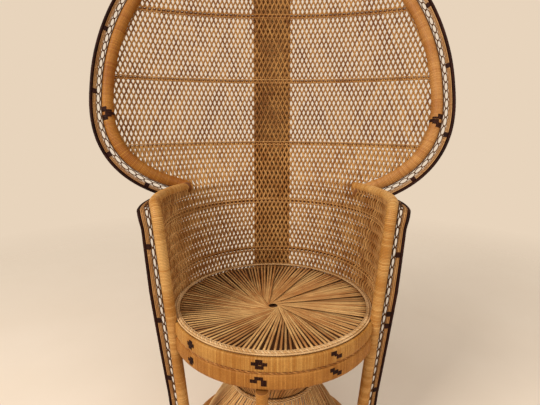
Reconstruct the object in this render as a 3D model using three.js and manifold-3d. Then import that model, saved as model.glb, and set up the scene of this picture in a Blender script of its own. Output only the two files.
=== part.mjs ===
// A rattan peacock chair. A round dished seat stands on an hourglass pedestal, two leaning
// posts bend back into arms, and the woven wall behind them opens into a tall oval hood.
// Lengths are in millimetres and angles in degrees. Z is up and the sitter faces -Y.
import * as THREE from 'three';
import { mergeVertices } from 'three/addons/utils/BufferGeometryUtils.js';
import Module from 'manifold-3d';

const wasm = await Module();
wasm.setup();

// Overall sizes
const totalHeight = 1500;
const seatHeight = 436;
const armHeight = 700;
const footRadius = 228.5;
const armRadius = 281;
const postAngle = 66;
const jointGap = 0.3;

// Hood, seen from the front, as two half ovals that meet at its widest height
const hoodWidest_share = 0.35625;
const rimHalfWidth = 436;
const rimLandingStretch_share = 1.105;
const rimLandingPower_share = 2.5;
const hoodPlanRadius = 950;
const hoodLeanAngle = 6.8;
const hoodOpening_share = 0.5;
const borderPlanRadius = 700;

// Poles and bands round the hood and the arms
const rimWidth = 34;
const rimDepth = 26;
const postDiameter = 28;
const armDiameter = 24;
const armBend = 46;
const armOverlapAngle = 3;
const loopWidth = 14;
const loopThickness = 4;
const loopPitch = 76;
const stripWidth = 7;
const stripThickness = 5;
const edgeWidth = 7;
const edgeThickness = 8;
const wingTilt = 48;

// Woven back
const weaveInset = 8;
const weavePitch = 88;
const weaveSlope_share = 0.48;
const weaveStripWidth = 7;
const weaveThickness = 4;
const twineHeight = 18;
const twineThickness = 3;
const twineStandOff = 1.2;
const twineClearance = 1;
const twineAboveSeat = 46;
const twineBelowArm = 65.5;
const lowerTwine_share = 0.395;
const twineAboveWidest = 13;
const upperTwine_share = 0.433;

// Spine that stiffens the back from behind
const spineHalfWidth = 48;
const spinePoleDiameter = 16;
const spineStandOff = 7;
const spineBulge = 48;
const spineTopDrop = 56;
const spineFootDrop = 17;
const spineColumns = 3;
const spineRowHeight = 166;
const spineStripWidth = 6;

// Seat
const apronThickness = 10;
const apronBandHeight = 35;
const apronBulge = 2;
const ropeDiameter = 5.2;
const braidWidth = 10;
const braidHeight = 9;
const seatHoopDiameter = 16;
const seatDish = 27;
const hubHoleRadius = 12;
const hubBladeWidth = 15;
const bladeTail = 9;
const bladeThickness = 2.6;
const bladeLift = 3;
const bladeCount = 13;
const bladeRimGap = 3;
const reedsPerBlade = 4;
const notchHalf_share = 0.035;
const notchStart_share = 0.35;
const seatRingWidth = 6;
const seatRingThickness = 4;
const railDiameter = 22;

// Pedestal
const floorRingDiameter = 30;
const floorFlat = 1;
const pedestalHoopDiameter = 20;
const pedestalHoopRadius = 190;
const waistHeight = 212;
const waistRadius = 104;
const waistCordDiameter = 12;
const coneThickness = 5;
const coneHoleCount = 16;
const coneHoleWidth = 15;
const coneHoleHeight = 16;
const coneHoleRise_share = 0.5;
const skirtReedCount = 16;
const skirtReedWidth = 26;
const skirtReedThickness = 5;
const skirtTurn = -30;
const skirtFlare_share = 1.4;
const skirtHoopDiameter = 9;
const centrePostDiameter = 26;
const centrePostAngle = -6.1;

// Sizes that follow from those above
const fullTurn = 360;
const halfTurn = fullTurn / 2;
const degrees = Math.PI / halfTurn;
const up = new THREE.Vector3(0, 0, 1);
const cutOverrun = 5;
const slopeStep = 1;
const ringSegments = 28;
const ringSides = 8;
const poleSides = 8;
const cordSides = 6;
const hoopSides = 4;
const bandStepAngle = 5.5;
const wallLean = (armRadius - footRadius) / armHeight;
const weaveFootRadius = footRadius - weaveInset;
const shoulderRadius = weaveFootRadius + wallLean * armHeight;
const hoodWidestHeight = armHeight + (totalHeight - armHeight) * hoodWidest_share;
const borderWidth = loopWidth + stripWidth + edgeWidth + 4 * jointGap;
const rimTopHeight = totalHeight - borderWidth - rimWidth / 2;
const rimLandingDrop = (hoodWidestHeight - armHeight) * rimLandingStretch_share;
const weaveRowHeight = weavePitch / weaveSlope_share;
const apronTop = seatHeight - braidHeight - jointGap;
const apronUpperBottom = apronTop - apronBandHeight;
const apronLowerTop = apronUpperBottom - ropeDiameter - 2 * jointGap;
const apronBottom = apronLowerTop - apronBandHeight;
const weaveFoot = apronLowerTop + jointGap;
const seatHoopHeight = apronTop - seatHoopDiameter / 2;
const seatHoopLow = apronTop - seatHoopDiameter;
const apronInner = postRadiusAt(seatHoopLow) - postDiameter / 2;
const apronOuter = apronInner + apronThickness;
const seatHoopRadius = apronInner - jointGap - seatHoopDiameter / 2;
const seatRestHeight = apronTop + jointGap;
const braidRadius = postRadiusAt(seatRestHeight) - (postDiameter + braidWidth) / 2 - jointGap;
const bladeRimRadius = braidRadius - (braidWidth + seatRingWidth) / 2 - jointGap;
const hubHeight = seatRestHeight - seatDish;
const upperRailHeight = hubHeight - jointGap - railDiameter / 2;
const lowerRailHeight = upperRailHeight - railDiameter - jointGap;
const pedestalHoopHeight = lowerRailHeight - (railDiameter + pedestalHoopDiameter) / 2 - jointGap;
const floorRingHeight = floorRingDiameter / 2 - floorFlat;
const bandHalf = twineHeight / 2 + twineClearance;
const partingLevels = [
  armHeight + (hoodWidestHeight - armHeight) * lowerTwine_share,
  hoodWidestHeight + twineAboveWidest,
  hoodWidestHeight + (rimTopHeight - hoodWidestHeight) * upperTwine_share,
];
const panelNames = ['wall', 'lower_hood', 'middle_hood', 'upper_hood'];
const spineTopHeight = rimTopHeight - spineTopDrop;
const spineFoot = apronBottom - spineFootDrop;
const spineHalfArc = (Math.PI / 4) * (spineHalfWidth + spineBulge);
const skirtHoopRadius = footRadius - (floorRingDiameter + skirtHoopDiameter) / 2 - jointGap;

const chair = new THREE.Group();

// Colours of the finishes
const finishes = {
  wrap: { color: 0xc08440, roughness: 0.55 },
  honey: { color: 0xcf9f5f, roughness: 0.5 },
  weave: { color: 0xb07f45, roughness: 0.65 },
  reed: { color: 0xc79b62, roughness: 0.6 },
  dark: { color: 0x2a1412, roughness: 0.5 },
  pole: { color: 0xb98a52, roughness: 0.6 },
};
const borderFinishes = { loops: 'honey', light_strip: 'reed', dark_edge: 'dark' };

function addPiece(name, geometry, finish) {
  geometry.computeVertexNormals();
  const material = new THREE.MeshStandardMaterial({ ...finishes[finish], metalness: 0 });
  const mesh = new THREE.Mesh(geometry, material);
  mesh.name = name;
  chair.add(mesh);
}

// Solids for joining and cutting

function toSolid(geometry) {
  const bare = geometry.clone();
  bare.deleteAttribute('normal');
  bare.deleteAttribute('uv');
  const merged = mergeVertices(bare);
  return new wasm.Manifold(new wasm.Mesh({
    numProp: 3,
    vertProperties: new Float32Array(merged.attributes.position.array),
    triVerts: new Uint32Array(merged.index.array),
  }));
}

function toGeometry(solid) {
  const mesh = solid.getMesh();
  const geometry = new THREE.BufferGeometry();
  geometry.setAttribute('position', new THREE.BufferAttribute(mesh.vertProperties, 3));
  geometry.setIndex(new THREE.BufferAttribute(mesh.triVerts, 1));
  return geometry;
}

// The largest connected body, which leaves out the ends that a cut has parted from it
function largestBody(solid) {
  const bodies = solid.decompose();
  return bodies.reduce((best, body) => (body.volume() > best.volume() ? body : best));
}

function cut(geometry, cutters) {
  const solid = cutters.reduce((left, cutter) => left.subtract(cutter), toSolid(geometry));
  return toGeometry(largestBody(solid));
}

function join(geometries) {
  const solids = geometries.map(toSolid);
  return solids.reduce((whole, solid) => whole.add(solid));
}

// A closed body from rings of points: capped at both ends, or running round on itself
function loft(rings, runsRound = false) {
  const sides = rings[0].length;
  const points = rings.flat();
  const triangles = [];
  const spans = runsRound ? rings.length : rings.length - 1;
  for (let span = 0; span < spans; span += 1) {
    const here = span * sides;
    const next = ((span + 1) % rings.length) * sides;
    for (let side = 0; side < sides; side += 1) {
      const after = (side + 1) % sides;
      triangles.push(here + side, here + after, next + after);
      triangles.push(here + side, next + after, next + side);
    }
  }
  if (!runsRound) {
    const last = (rings.length - 1) * sides;
    for (let side = 1; side < sides - 1; side += 1) {
      triangles.push(0, side + 1, side);
      triangles.push(last, last + side, last + side + 1);
    }
  }
  return outward(meshFrom(points, triangles));
}

function meshFrom(points, triangles) {
  const geometry = new THREE.BufferGeometry().setFromPoints(points);
  geometry.setIndex(triangles);
  return geometry;
}

// Turns every face over where the body came out inside out
function outward(geometry) {
  const place = geometry.attributes.position;
  const index = geometry.index.array;
  const [a, b, c] = [new THREE.Vector3(), new THREE.Vector3(), new THREE.Vector3()];
  let volume = 0;
  for (let at = 0; at < index.length; at += 3) {
    a.fromBufferAttribute(place, index[at]);
    b.fromBufferAttribute(place, index[at + 1]);
    c.fromBufferAttribute(place, index[at + 2]);
    volume += a.dot(b.cross(c));
  }
  if (volume < 0) {
    const turned = Array.from(index);
    for (let at = 0; at < turned.length; at += 3) {
      [turned[at + 1], turned[at + 2]] = [turned[at + 2], turned[at + 1]];
    }
    geometry.setIndex(turned);
  }
  return geometry;
}

// A section is a list of [across, through] offsets. A frame is a place with two directions.
function sweep(frames, sectionAt, runsRound = false) {
  const rings = frames.map((frame, at) => sectionAt(at, frame).map(([across, through]) => (
    frame.place.clone().addScaledVector(frame.across, across).addScaledVector(frame.through, through)
  )));
  return loft(rings, runsRound);
}

// A polygon that just fills a width and a depth
function ovalSection(width, depth, sides) {
  const turns = Array.from({ length: sides }, (_, side) => ((side + 0.5) / sides) * 2 * Math.PI);
  const reach = Math.max(...turns.map((turn) => Math.cos(turn)));
  const rise = Math.max(...turns.map((turn) => Math.sin(turn)));
  return turns.map((turn) => [
    ((width / 2) * Math.cos(turn)) / reach,
    ((depth / 2) * Math.sin(turn)) / rise,
  ]);
}

function boxSection(low, high, thickness) {
  const half = thickness / 2;
  return [[low, -half], [high, -half], [high, half], [low, half]];
}

// A place on a circle round the chair's axis, at an angle from straight ahead
function around(radius, angle, height) {
  const turn = angle * degrees;
  return new THREE.Vector3(radius * Math.sin(turn), -radius * Math.cos(turn), height);
}

function ringOf(radius, height, section, segments, from = -halfTurn, to = halfTurn) {
  const whole = to - from === fullTurn;
  const count = whole ? segments : segments + 1;
  const frames = Array.from({ length: count }, (_, at) => {
    const angle = from + ((to - from) * at) / segments;
    return { place: around(radius, angle, height), across: around(1, angle, 0), through: up };
  });
  return sweep(frames, () => section, whole);
}

function postRadiusAt(height) {
  return footRadius + ((armRadius - footRadius) * height) / armHeight;
}

// The surface that the back is woven on. It is a leaning cone up to the arms, and above them
// its plan radius grows, so that the sheet opens into the hood.

function planRadiusAt(height) {
  if (height <= armHeight) {
    return weaveFootRadius + wallLean * height;
  }
  const share = (height - armHeight) / (totalHeight - armHeight);
  return shoulderRadius + (hoodPlanRadius - shoulderRadius) * share ** hoodOpening_share;
}

function backDepthAt(height) {
  const lean = Math.tan(hoodLeanAngle * degrees);
  return height <= armHeight
    ? weaveFootRadius + wallLean * height
    : shoulderRadius + lean * (height - armHeight);
}

function onBack(along, height) {
  const radius = planRadiusAt(height);
  const turn = along / radius;
  const y = backDepthAt(height) - radius * (1 - Math.cos(turn));
  return new THREE.Vector3(radius * Math.sin(turn), y, height);
}

function backNormal(along, height) {
  const turn = along / planRadiusAt(height);
  const sideways = new THREE.Vector3(Math.cos(turn), -Math.sin(turn), 0);
  const rise = onBack(along, height + slopeStep).sub(onBack(along, height - slopeStep));
  return sideways.cross(rise).normalize();
}

// The rim pole seen from the front: an oval above the widest height and a fuller curve below
// it, which lands on the arm. The share runs from 0 at the top to 1 at the landing.

const rimLandingHalf_share = (1 - (1 / rimLandingStretch_share) ** rimLandingPower_share)
  ** (1 / rimLandingPower_share);
const armEndAngle = halfTurn + armOverlapAngle
  - Math.asin((rimHalfWidth * rimLandingHalf_share) / armRadius) / degrees;

function rimFrontPoint(share) {
  if (share < 0.5) {
    const turn = share * Math.PI;
    const rise = (rimTopHeight - hoodWidestHeight) * Math.cos(turn);
    return [rimHalfWidth * Math.sin(turn), hoodWidestHeight + rise];
  }
  const landingTurn = Math.acos(rimLandingHalf_share ** (rimLandingPower_share / 2));
  const turn = (2 * share - 1) * landingTurn;
  const power = 2 / rimLandingPower_share;
  const drop = rimLandingDrop * Math.sin(turn) ** power;
  return [rimHalfWidth * Math.cos(turn) ** power, hoodWidestHeight - drop];
}

function rimPoint(share) {
  const [x, height] = rimFrontPoint(share);
  const radius = planRadiusAt(height);
  const y = backDepthAt(height) - radius + Math.sqrt(radius * radius - x * x);
  return new THREE.Vector3(x, y, height);
}

function evenly(points, pitch) {
  const curve = new THREE.CatmullRomCurve3(points, false, 'centripetal');
  const count = Math.round(curve.getLength() / pitch);
  return curve.getSpacedPoints(count);
}

// Frames along a path. The facing direction says which way the front of a band looks.
function framesAlong(points, facing) {
  return points.map((place, at) => {
    const before = points[Math.max(at - 1, 0)];
    const after = points[Math.min(at + 1, points.length - 1)];
    const along = after.clone().sub(before).normalize();
    const through = facing(place, along);
    through.addScaledVector(along, -through.dot(along)).normalize();
    const across = through.clone().cross(along).normalize();
    return { place, across, through };
  });
}

function lengthened(frames, extra) {
  const moved = ({ place, across, through }, step) => (
    { place: place.clone().addScaledVector(across.clone().cross(through), step), across, through }
  );
  const [first, last] = [frames[0], frames[frames.length - 1]];
  return [moved(first, -extra), ...frames.slice(1, -1), moved(last, extra)];
}

function mirrored(geometry) {
  const copy = geometry.clone();
  copy.scale(-1, 1, 1);
  return outward(copy);
}

function slab(low, high) {
  const box = new THREE.BoxGeometry(2 * totalHeight, 2 * totalHeight, high - low);
  return toSolid(box.translate(0, 0, (low + high) / 2));
}

// Pedestal: a ring on the floor, a flared skirt of reeds, a tied waist and a woven cone

function makeFloorRing() {
  const section = ovalSection(floorRingDiameter, floorRingDiameter, ringSides);
  const flattened = section.map(([across, rise]) => [across, Math.max(rise, -floorRingHeight)]);
  return ringOf(footRadius, floorRingHeight, flattened, ringSegments);
}

const clearFloorRing = toSolid(ringOf(
  footRadius,
  floorRingHeight,
  ovalSection(floorRingDiameter + 2 * jointGap, floorRingDiameter + 2 * jointGap, ringSides),
  ringSegments,
));

function skirtRadiusAt(share) {
  const neck = waistRadius - skirtReedThickness / 2;
  return neck + (skirtHoopRadius - neck) * (1 - (1 - share) ** skirtFlare_share);
}

function makeSkirtReed(index) {
  const shares = [0, 0.3, 0.65, 1];
  const top = waistHeight - jointGap / 2;
  const start = (fullTurn * index) / skirtReedCount;
  const places = shares.map((share) => {
    const height = top + (floorRingHeight - top) * share;
    return around(skirtRadiusAt(share), start + skirtTurn * share, height);
  });
  const frames = framesAlong(places, (place) => new THREE.Vector3(place.x, place.y, 0));
  const half = skirtReedWidth / 2;
  return sweep(frames, () => boxSection(-half, half, skirtReedThickness));
}

function makeSkirt() {
  const reeds = Array.from({ length: skirtReedCount }, (_, index) => makeSkirtReed(index));
  const hoop = ovalSection(skirtHoopDiameter, skirtHoopDiameter, hoopSides);
  const foot = ringOf(skirtHoopRadius, floorRingHeight, hoop, ringSegments);
  const whole = join([...reeds, foot]).intersect(slab(floorFlat, waistHeight - jointGap / 2));
  return toGeometry(largestBody(whole.subtract(clearWaistCord).subtract(clearFloorRing)));
}

const waistCordRadius = waistRadius + jointGap + waistCordDiameter / 2;
const clearWaistCord = toSolid(ringOf(
  waistCordRadius,
  waistHeight,
  ovalSection(waistCordDiameter + 2 * jointGap, waistCordDiameter + 2 * jointGap, cordSides),
  ringSegments,
));

function makeWaistCord() {
  const section = ovalSection(waistCordDiameter, waistCordDiameter, cordSides);
  return ringOf(waistCordRadius, waistHeight, section, ringSegments);
}

function makeCone() {
  const foot = waistHeight + jointGap / 2;
  const rise = pedestalHoopHeight - foot;
  const spread = pedestalHoopRadius - waistRadius;
  const wall = [[0, 0], [spread, rise], [spread - coneThickness, rise], [-coneThickness, 0]];
  const shell = ringOf(waistRadius, foot, wall, coneHoleCount);
  const holes = Array.from({ length: coneHoleCount }, (_, index) => {
    const angle = (fullTurn * (index + 0.5)) / coneHoleCount;
    const hole = new THREE.BoxGeometry(coneHoleWidth, spread, coneHoleHeight);
    hole.translate(0, -waistRadius - spread / 2, foot + rise * coneHoleRise_share);
    return toSolid(hole.rotateZ(angle * degrees));
  });
  const pierced = holes.reduce((left, hole) => left.subtract(hole), toSolid(shell));
  return toGeometry(largestBody(pierced.subtract(clearWaistCord).subtract(clearPedestalHoop)));
}

const clearPedestalHoop = toSolid(ringOf(
  pedestalHoopRadius,
  pedestalHoopHeight,
  ovalSection(pedestalHoopDiameter + 2 * jointGap, pedestalHoopDiameter + 2 * jointGap, ringSides),
  ringSegments,
));

function makePedestalHoop() {
  const section = ovalSection(pedestalHoopDiameter, pedestalHoopDiameter, ringSides);
  return ringOf(pedestalHoopRadius, pedestalHoopHeight, section, ringSegments);
}

// Seat: two crossed rails, a hoop, a swirl of split reeds, a braided rim and a wrapped apron

function makeRail(height, turn) {
  const length = 2 * (apronInner + cutOverrun);
  const rail = new THREE.CylinderGeometry(railDiameter / 2, railDiameter / 2, length, poleSides);
  rail.rotateZ(Math.PI / 2 + turn).translate(0, 0, height);
  const reach = apronInner - 2 * jointGap;
  const inside = new THREE.CylinderGeometry(reach, reach, totalHeight, 48).rotateX(Math.PI / 2);
  return toGeometry(toSolid(rail).intersect(toSolid(inside)));
}

function makeSeatHoop() {
  const section = ovalSection(seatHoopDiameter, seatHoopDiameter, ringSides);
  return ringOf(seatHoopRadius, seatHoopHeight, section, ringSegments);
}

function makeBraid() {
  const middle = seatHeight - braidHeight / 2;
  return ringOf(braidRadius, middle, ovalSection(braidWidth, braidHeight, ringSides), ringSegments);
}

// One bundle of reeds, drawn flat as a comb. Its first side runs from the hub to the rim, and
// the notches between the reeds open towards the rim.
function combShape() {
  const outline = [new THREE.Vector2(0, 0), new THREE.Vector2(1, 0)];
  for (let reed = 1; reed < reedsPerBlade; reed += 1) {
    const middle = reed / reedsPerBlade;
    outline.push(new THREE.Vector2(1, middle - notchHalf_share));
    outline.push(new THREE.Vector2(notchStart_share, middle));
    outline.push(new THREE.Vector2(1, middle + notchHalf_share));
  }
  outline.push(new THREE.Vector2(1, 1), new THREE.Vector2(0, 1));
  return new THREE.Shape(outline);
}

// Bends the flat comb into a bundle that touches the hub hole with one edge and lies over its
// neighbour there.
function makeBlade(index) {
  const step = fullTurn / bladeCount;
  const heading = index * step * degrees;
  const tangentAngle = Math.asin(hubHoleRadius / bladeRimRadius);
  const fan = (step - bladeRimGap) * degrees;
  const blade = new THREE.ExtrudeGeometry(combShape(), { depth: 1, bevelEnabled: false });
  const place = blade.attributes.position;
  for (let at = 0; at < place.count; at += 1) {
    const [out, over, rise] = [place.getX(at), place.getY(at), place.getZ(at)];
    const hubReach = hubHoleRadius + over * hubBladeWidth;
    const rimTurn = heading + tangentAngle + over * fan;
    const hubX = -Math.sin(heading) * hubReach - Math.cos(heading) * bladeTail;
    const hubY = Math.cos(heading) * hubReach - Math.sin(heading) * bladeTail;
    const x = THREE.MathUtils.lerp(hubX, bladeRimRadius * Math.cos(rimTurn), out);
    const y = THREE.MathUtils.lerp(hubY, bladeRimRadius * Math.sin(rimTurn), out);
    const bed = THREE.MathUtils.lerp(hubHeight, seatRestHeight, out);
    place.setXYZ(at, x, y, bed + bladeLift * (1 - over) + bladeThickness * rise);
  }
  return blade;
}

function makeSwirl() {
  const blades = Array.from({ length: bladeCount }, (_, index) => makeBlade(index));
  const half = seatRingThickness / 2;
  const section = boxSection(-seatRingWidth / 2, seatRingWidth / 2, seatRingThickness);
  const ring = ringOf(bladeRimRadius, seatRestHeight + half, section, ringSegments);
  return toGeometry(largestBody(join([...blades, ring])));
}

function bandSection(height) {
  const [half, rise] = [apronThickness / 2, height / 2];
  return [[-half, -rise], [half - apronBulge, -rise], [half, 0], [half - apronBulge, rise], [-half, rise]];
}

function makeBand(bottom, from, to) {
  const middle = (apronInner + apronOuter) / 2;
  const height = bottom + apronBandHeight / 2;
  const segments = Math.round((to - from) / bandStepAngle);
  const band = ringOf(middle, height, bandSection(apronBandHeight), segments, from, to);
  return cut(band, [clearPostRight, clearPostLeft]);
}

function makeApronRope() {
  const radius = apronOuter - apronBulge - ropeDiameter / 2;
  const height = apronLowerTop + jointGap + ropeDiameter / 2;
  const section = ovalSection(ropeDiameter, ropeDiameter, cordSides);
  const segments = Math.round((2 * postAngle) / bandStepAngle);
  const rope = ringOf(radius, height, section, segments, -postAngle, postAngle);
  return cut(rope, [clearPostRight, clearPostLeft]);
}

// Posts and arms. One pole runs up from the floor ring, bends at the top and runs back along
// the arm. Beside it runs a border of loops, a light strip and a dark edge.

function armPlaces() {
  const reach = armBend / (armRadius * degrees);
  const bendStart = armHeight - armBend;
  const places = [];
  const postCount = Math.round(bendStart / loopPitch);
  for (let at = 0; at < postCount; at += 1) {
    const height = floorRingHeight + ((bendStart - floorRingHeight) * at) / postCount;
    places.push(around(postRadiusAt(height), postAngle, height));
  }
  const bend = new THREE.QuadraticBezierCurve3(
    around(postRadiusAt(bendStart), postAngle, bendStart),
    around(armRadius, postAngle, armHeight),
    around(armRadius, postAngle + reach, armHeight),
  );
  places.push(...bend.getPoints(4));
  const armTurn = armEndAngle - postAngle - reach;
  const armCount = Math.round((2 * armTurn * degrees * armRadius) / loopPitch);
  for (let at = 1; at <= armCount; at += 1) {
    places.push(around(armRadius, postAngle + reach + (armTurn * at) / armCount, armHeight));
  }
  return places;
}

// The border stands out from the pole, turned back behind it by the wing's tilt
function wingFacing(place, along) {
  const outwards = new THREE.Vector3(place.x, place.y, 0).normalize();
  outwards.addScaledVector(along, -outwards.dot(along)).normalize();
  const inwards = along.clone().cross(outwards);
  const turn = wingTilt * degrees;
  const reach = outwards.multiplyScalar(Math.cos(turn)).addScaledVector(inwards, Math.sin(turn));
  return along.clone().cross(reach);
}

const armFrames = framesAlong(armPlaces(), wingFacing);

function poleWidthAt(frame) {
  const share = Math.min(frame.place.z / armHeight, 1);
  return postDiameter + (armDiameter - postDiameter) * share;
}

// The straight part of the post needs no frames between its ends
const bendFrames = armFrames.filter(({ place }, at) => at === 0 || place.z >= armHeight - armBend);

function armPole(extra) {
  return sweep(lengthened(bendFrames, extra), (_, frame) => {
    const width = poleWidthAt(frame) + 2 * extra;
    return ovalSection(width, width, poleSides);
  });
}

const clearPostRight = toSolid(armPole(jointGap));
const clearPostLeft = toSolid(mirrored(armPole(jointGap)));

// Hood rim and its border

const rimPlaces = evenly(
  Array.from({ length: 61 }, (_, at) => rimPoint(at / 60)),
  loopPitch,
);

function rimFacing(place) {
  const turn = Math.asin(place.x / borderPlanRadius);
  return new THREE.Vector3(-Math.sin(turn), -Math.cos(turn), 0);
}

rimPlaces[0].setX(jointGap / 2);
const rimLead = rimPlaces[1].clone().setX(-rimPlaces[1].x);
const rimFrames = framesAlong([rimLead, ...rimPlaces], rimFacing).slice(1);

function rimPole(extra) {
  const section = ovalSection(rimWidth + 2 * extra, rimDepth + 2 * extra, poleSides);
  return sweep(lengthened(rimFrames, extra), () => section);
}

const clearRimRight = toSolid(rimPole(jointGap));
const clearRimLeft = toSolid(mirrored(rimPole(jointGap)));

// The room that a border needs, as one slab
function borderRoom(frames, poleHalfAt) {
  const thickness = edgeThickness + 2 * jointGap;
  return sweep(lengthened(frames, jointGap), (_, frame) => (
    boxSection(poleHalfAt(frame), poleHalfAt(frame) + borderWidth + jointGap, thickness)
  ));
}

// A band with one diamond opening between each two frames
function loopBand(frames, lowAt) {
  const points = [];
  const triangles = [];
  const half = loopThickness / 2;
  const corners = frames.map((frame) => {
    const low = lowAt(frame);
    return [low, low + loopWidth].map((across) => [half, -half].map((through) => (
      frame.place.clone().addScaledVector(frame.across, across).addScaledVector(frame.through, through)
    )));
  });
  const add = (point) => points.push(point) - 1;
  const edge = corners.map(([low, high]) => ({ low: low.map(add), high: high.map(add) }));
  const between = (at, along, across, side) => {
    const [here, next] = [corners[at], corners[at + 1]];
    const low = here[0][side].clone().lerp(next[0][side], along);
    return low.lerp(here[1][side].clone().lerp(next[1][side], along), across);
  };
  const quad = (a, b, c, d) => triangles.push(a, b, c, a, c, d);
  const holeCorners_shares = [[0.5, 0.14], [0.88, 0.5], [0.5, 0.86], [0.12, 0.5]];
  for (let at = 0; at < frames.length - 1; at += 1) {
    const [here, next] = [edge[at], edge[at + 1]];
    const hole = [0, 1].map((side) => holeCorners_shares.map(
      ([along, across]) => add(between(at, along, across, side)),
    ));
    const rim = [0, 1].map((side) => [here.low[side], next.low[side], next.high[side], here.high[side]]);
    for (let side = 0; side < 4; side += 1) {
      const after = (side + 1) % 4;
      triangles.push(rim[0][side], rim[0][after], hole[0][side]);
      triangles.push(rim[0][after], hole[0][after], hole[0][side]);
      triangles.push(rim[1][after], rim[1][side], hole[1][side]);
      triangles.push(rim[1][after], hole[1][side], hole[1][after]);
      quad(hole[0][side], hole[0][after], hole[1][after], hole[1][side]);
    }
    quad(here.low[1], next.low[1], next.low[0], here.low[0]);
    quad(here.high[1], here.high[0], next.high[0], next.high[1]);
  }
  const [first, last] = [edge[0], edge[edge.length - 1]];
  quad(first.low[0], first.high[0], first.high[1], first.low[1]);
  quad(last.low[1], last.high[1], last.high[0], last.low[0]);
  return outward(meshFrom(points, triangles));
}

function borderPieces(frames, bandFrames, poleHalfAt) {
  const loopsAt = (frame) => poleHalfAt(frame) + 2 * jointGap;
  const stripAt = (frame) => loopsAt(frame) + loopWidth + jointGap;
  const edgeAt = (frame) => stripAt(frame) + stripWidth + jointGap;
  const edgeSection = ovalSection(edgeWidth, edgeThickness, cordSides);
  return {
    loops: loopBand(frames, loopsAt),
    light_strip: sweep(bandFrames, (_, frame) => (
      boxSection(stripAt(frame), stripAt(frame) + stripWidth, stripThickness).reverse()
    )),
    dark_edge: sweep(bandFrames, (_, frame) => edgeSection.map(
      ([across, through]) => [edgeAt(frame) + edgeWidth / 2 + across, through],
    )),
  };
}

// Woven back: an open net of flat strips, with a small diamond at each crossing
function makeNet(crossings, net) {
  const points = [];
  const triangles = [];
  const halfRise = (net.stripWidth / 2) / Math.sin(net.lean);
  const halfSpan = (net.stripWidth / 2) / Math.cos(net.lean);
  const corners_shares = [[1, 0], [0, 1], [-1, 0], [0, -1]];
  const keys = new Map();
  crossings.forEach(([column, row]) => {
    const [along, height] = [column * net.halfPitch, net.start + row * net.halfRow];
    const corners = corners_shares.map(([side, rise]) => {
      const [s, z] = [along + side * halfSpan, height + rise * halfRise];
      const [place, normal] = [net.place(s, z), net.normal(s, z)];
      return [1, -1].map((face) => (
        points.push(place.clone().addScaledVector(normal, (face * net.thickness) / 2)) - 1
      ));
    });
    keys.set(`${column},${row}`, corners);
  });
  const face = (ring) => {
    const [front, back] = [ring.map((corner) => corner[0]), ring.map((corner) => corner[1])];
    triangles.push(front[0], front[1], front[2], front[0], front[2], front[3]);
    triangles.push(back[0], back[2], back[1], back[0], back[3], back[2]);
  };
  const wall = (a, b) => triangles.push(a[0], a[1], b[1], a[0], b[1], b[0]);
  const steps = [[1, 1], [-1, 1], [-1, -1], [1, -1]];
  crossings.forEach(([column, row]) => {
    const here = keys.get(`${column},${row}`);
    face(here);
    steps.forEach(([side, rise], at) => {
      const there = keys.get(`${column + side},${row + rise}`);
      const [a, b] = [here[at], here[(at + 1) % 4]];
      if (!there) {
        wall(a, b);
      } else if (rise > 0) {
        const [c, d] = [there[(at + 2) % 4], there[(at + 3) % 4]];
        face([a, d, c, b]);
        wall(a, d);
        wall(c, b);
      }
    });
  });
  return toSolid(meshFrom(points, triangles));
}

function rimHalfWidthAt(height) {
  if (height >= hoodWidestHeight) {
    const share = Math.min((height - hoodWidestHeight) / (rimTopHeight - hoodWidestHeight), 1);
    return rimHalfWidth * Math.sqrt(1 - share * share);
  }
  const share = Math.min((hoodWidestHeight - height) / rimLandingDrop, 1);
  return rimHalfWidth * (1 - share ** rimLandingPower_share) ** (1 / rimLandingPower_share);
}

// How far the woven sheet reaches to each side, along the surface
function weaveReachAt(height) {
  const radius = planRadiusAt(height);
  return height < armHeight
    ? radius * (halfTurn - postAngle) * degrees
    : radius * Math.asin(Math.min(rimHalfWidthAt(height) / radius, 1));
}

const backNet = {
  halfPitch: weavePitch / 2,
  rowHeight: weaveRowHeight,
  stripWidth: weaveStripWidth,
  thickness: weaveThickness,
  place: onBack,
  normal: backNormal,
  reachAt: weaveReachAt,
};

// Each panel has a whole number of rows that fill its height
function netPanel(net, low, high, cutters) {
  const crossings = [];
  const halfRows = 2 * Math.max(1, Math.round((high - low) / net.rowHeight));
  const halfRow = (high - low) / halfRows;
  for (let row = -1; row <= halfRows + 1; row += 1) {
    const reaches = [row - 1, row, row + 1].map((near) => net.reachAt(low + near * halfRow));
    const columns = Math.ceil(Math.max(...reaches) / net.halfPitch);
    for (let column = -columns; column <= columns; column += 1) {
      if ((column + row) % 2 === 0) {
        crossings.push([column, row]);
      }
    }
  }
  const fitted = { ...net, start: low, halfRow, lean: Math.atan(net.halfPitch / halfRow) };
  const open = makeNet(crossings, fitted).intersect(slab(low, high));
  return toGeometry(largestBody(cutters.reduce((left, cutter) => left.subtract(cutter), open)));
}

function makeTwine(height, forward, cutters) {
  const reach = weaveReachAt(height);
  const count = Math.round((2 * reach) / backNet.halfPitch);
  const frames = Array.from({ length: count + 1 }, (_, at) => {
    const along = -reach + (2 * reach * at) / count;
    const normal = backNormal(along, height);
    const place = onBack(along, height);
    place.addScaledVector(normal, forward);
    return { place, across: up, through: normal };
  });
  const half = twineHeight / 2;
  return cut(sweep(frames, () => boxSection(-half, half, twineThickness)), cutters);
}

// Spine: two poles from the floor ring and a half tube of open weave between them

function spinePolePlace(height) {
  const place = onBack(spineHalfWidth, height);
  place.y += weaveThickness / 2 + spineStandOff + spinePoleDiameter / 2;
  place.x = spineHalfWidth;
  return place;
}

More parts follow.
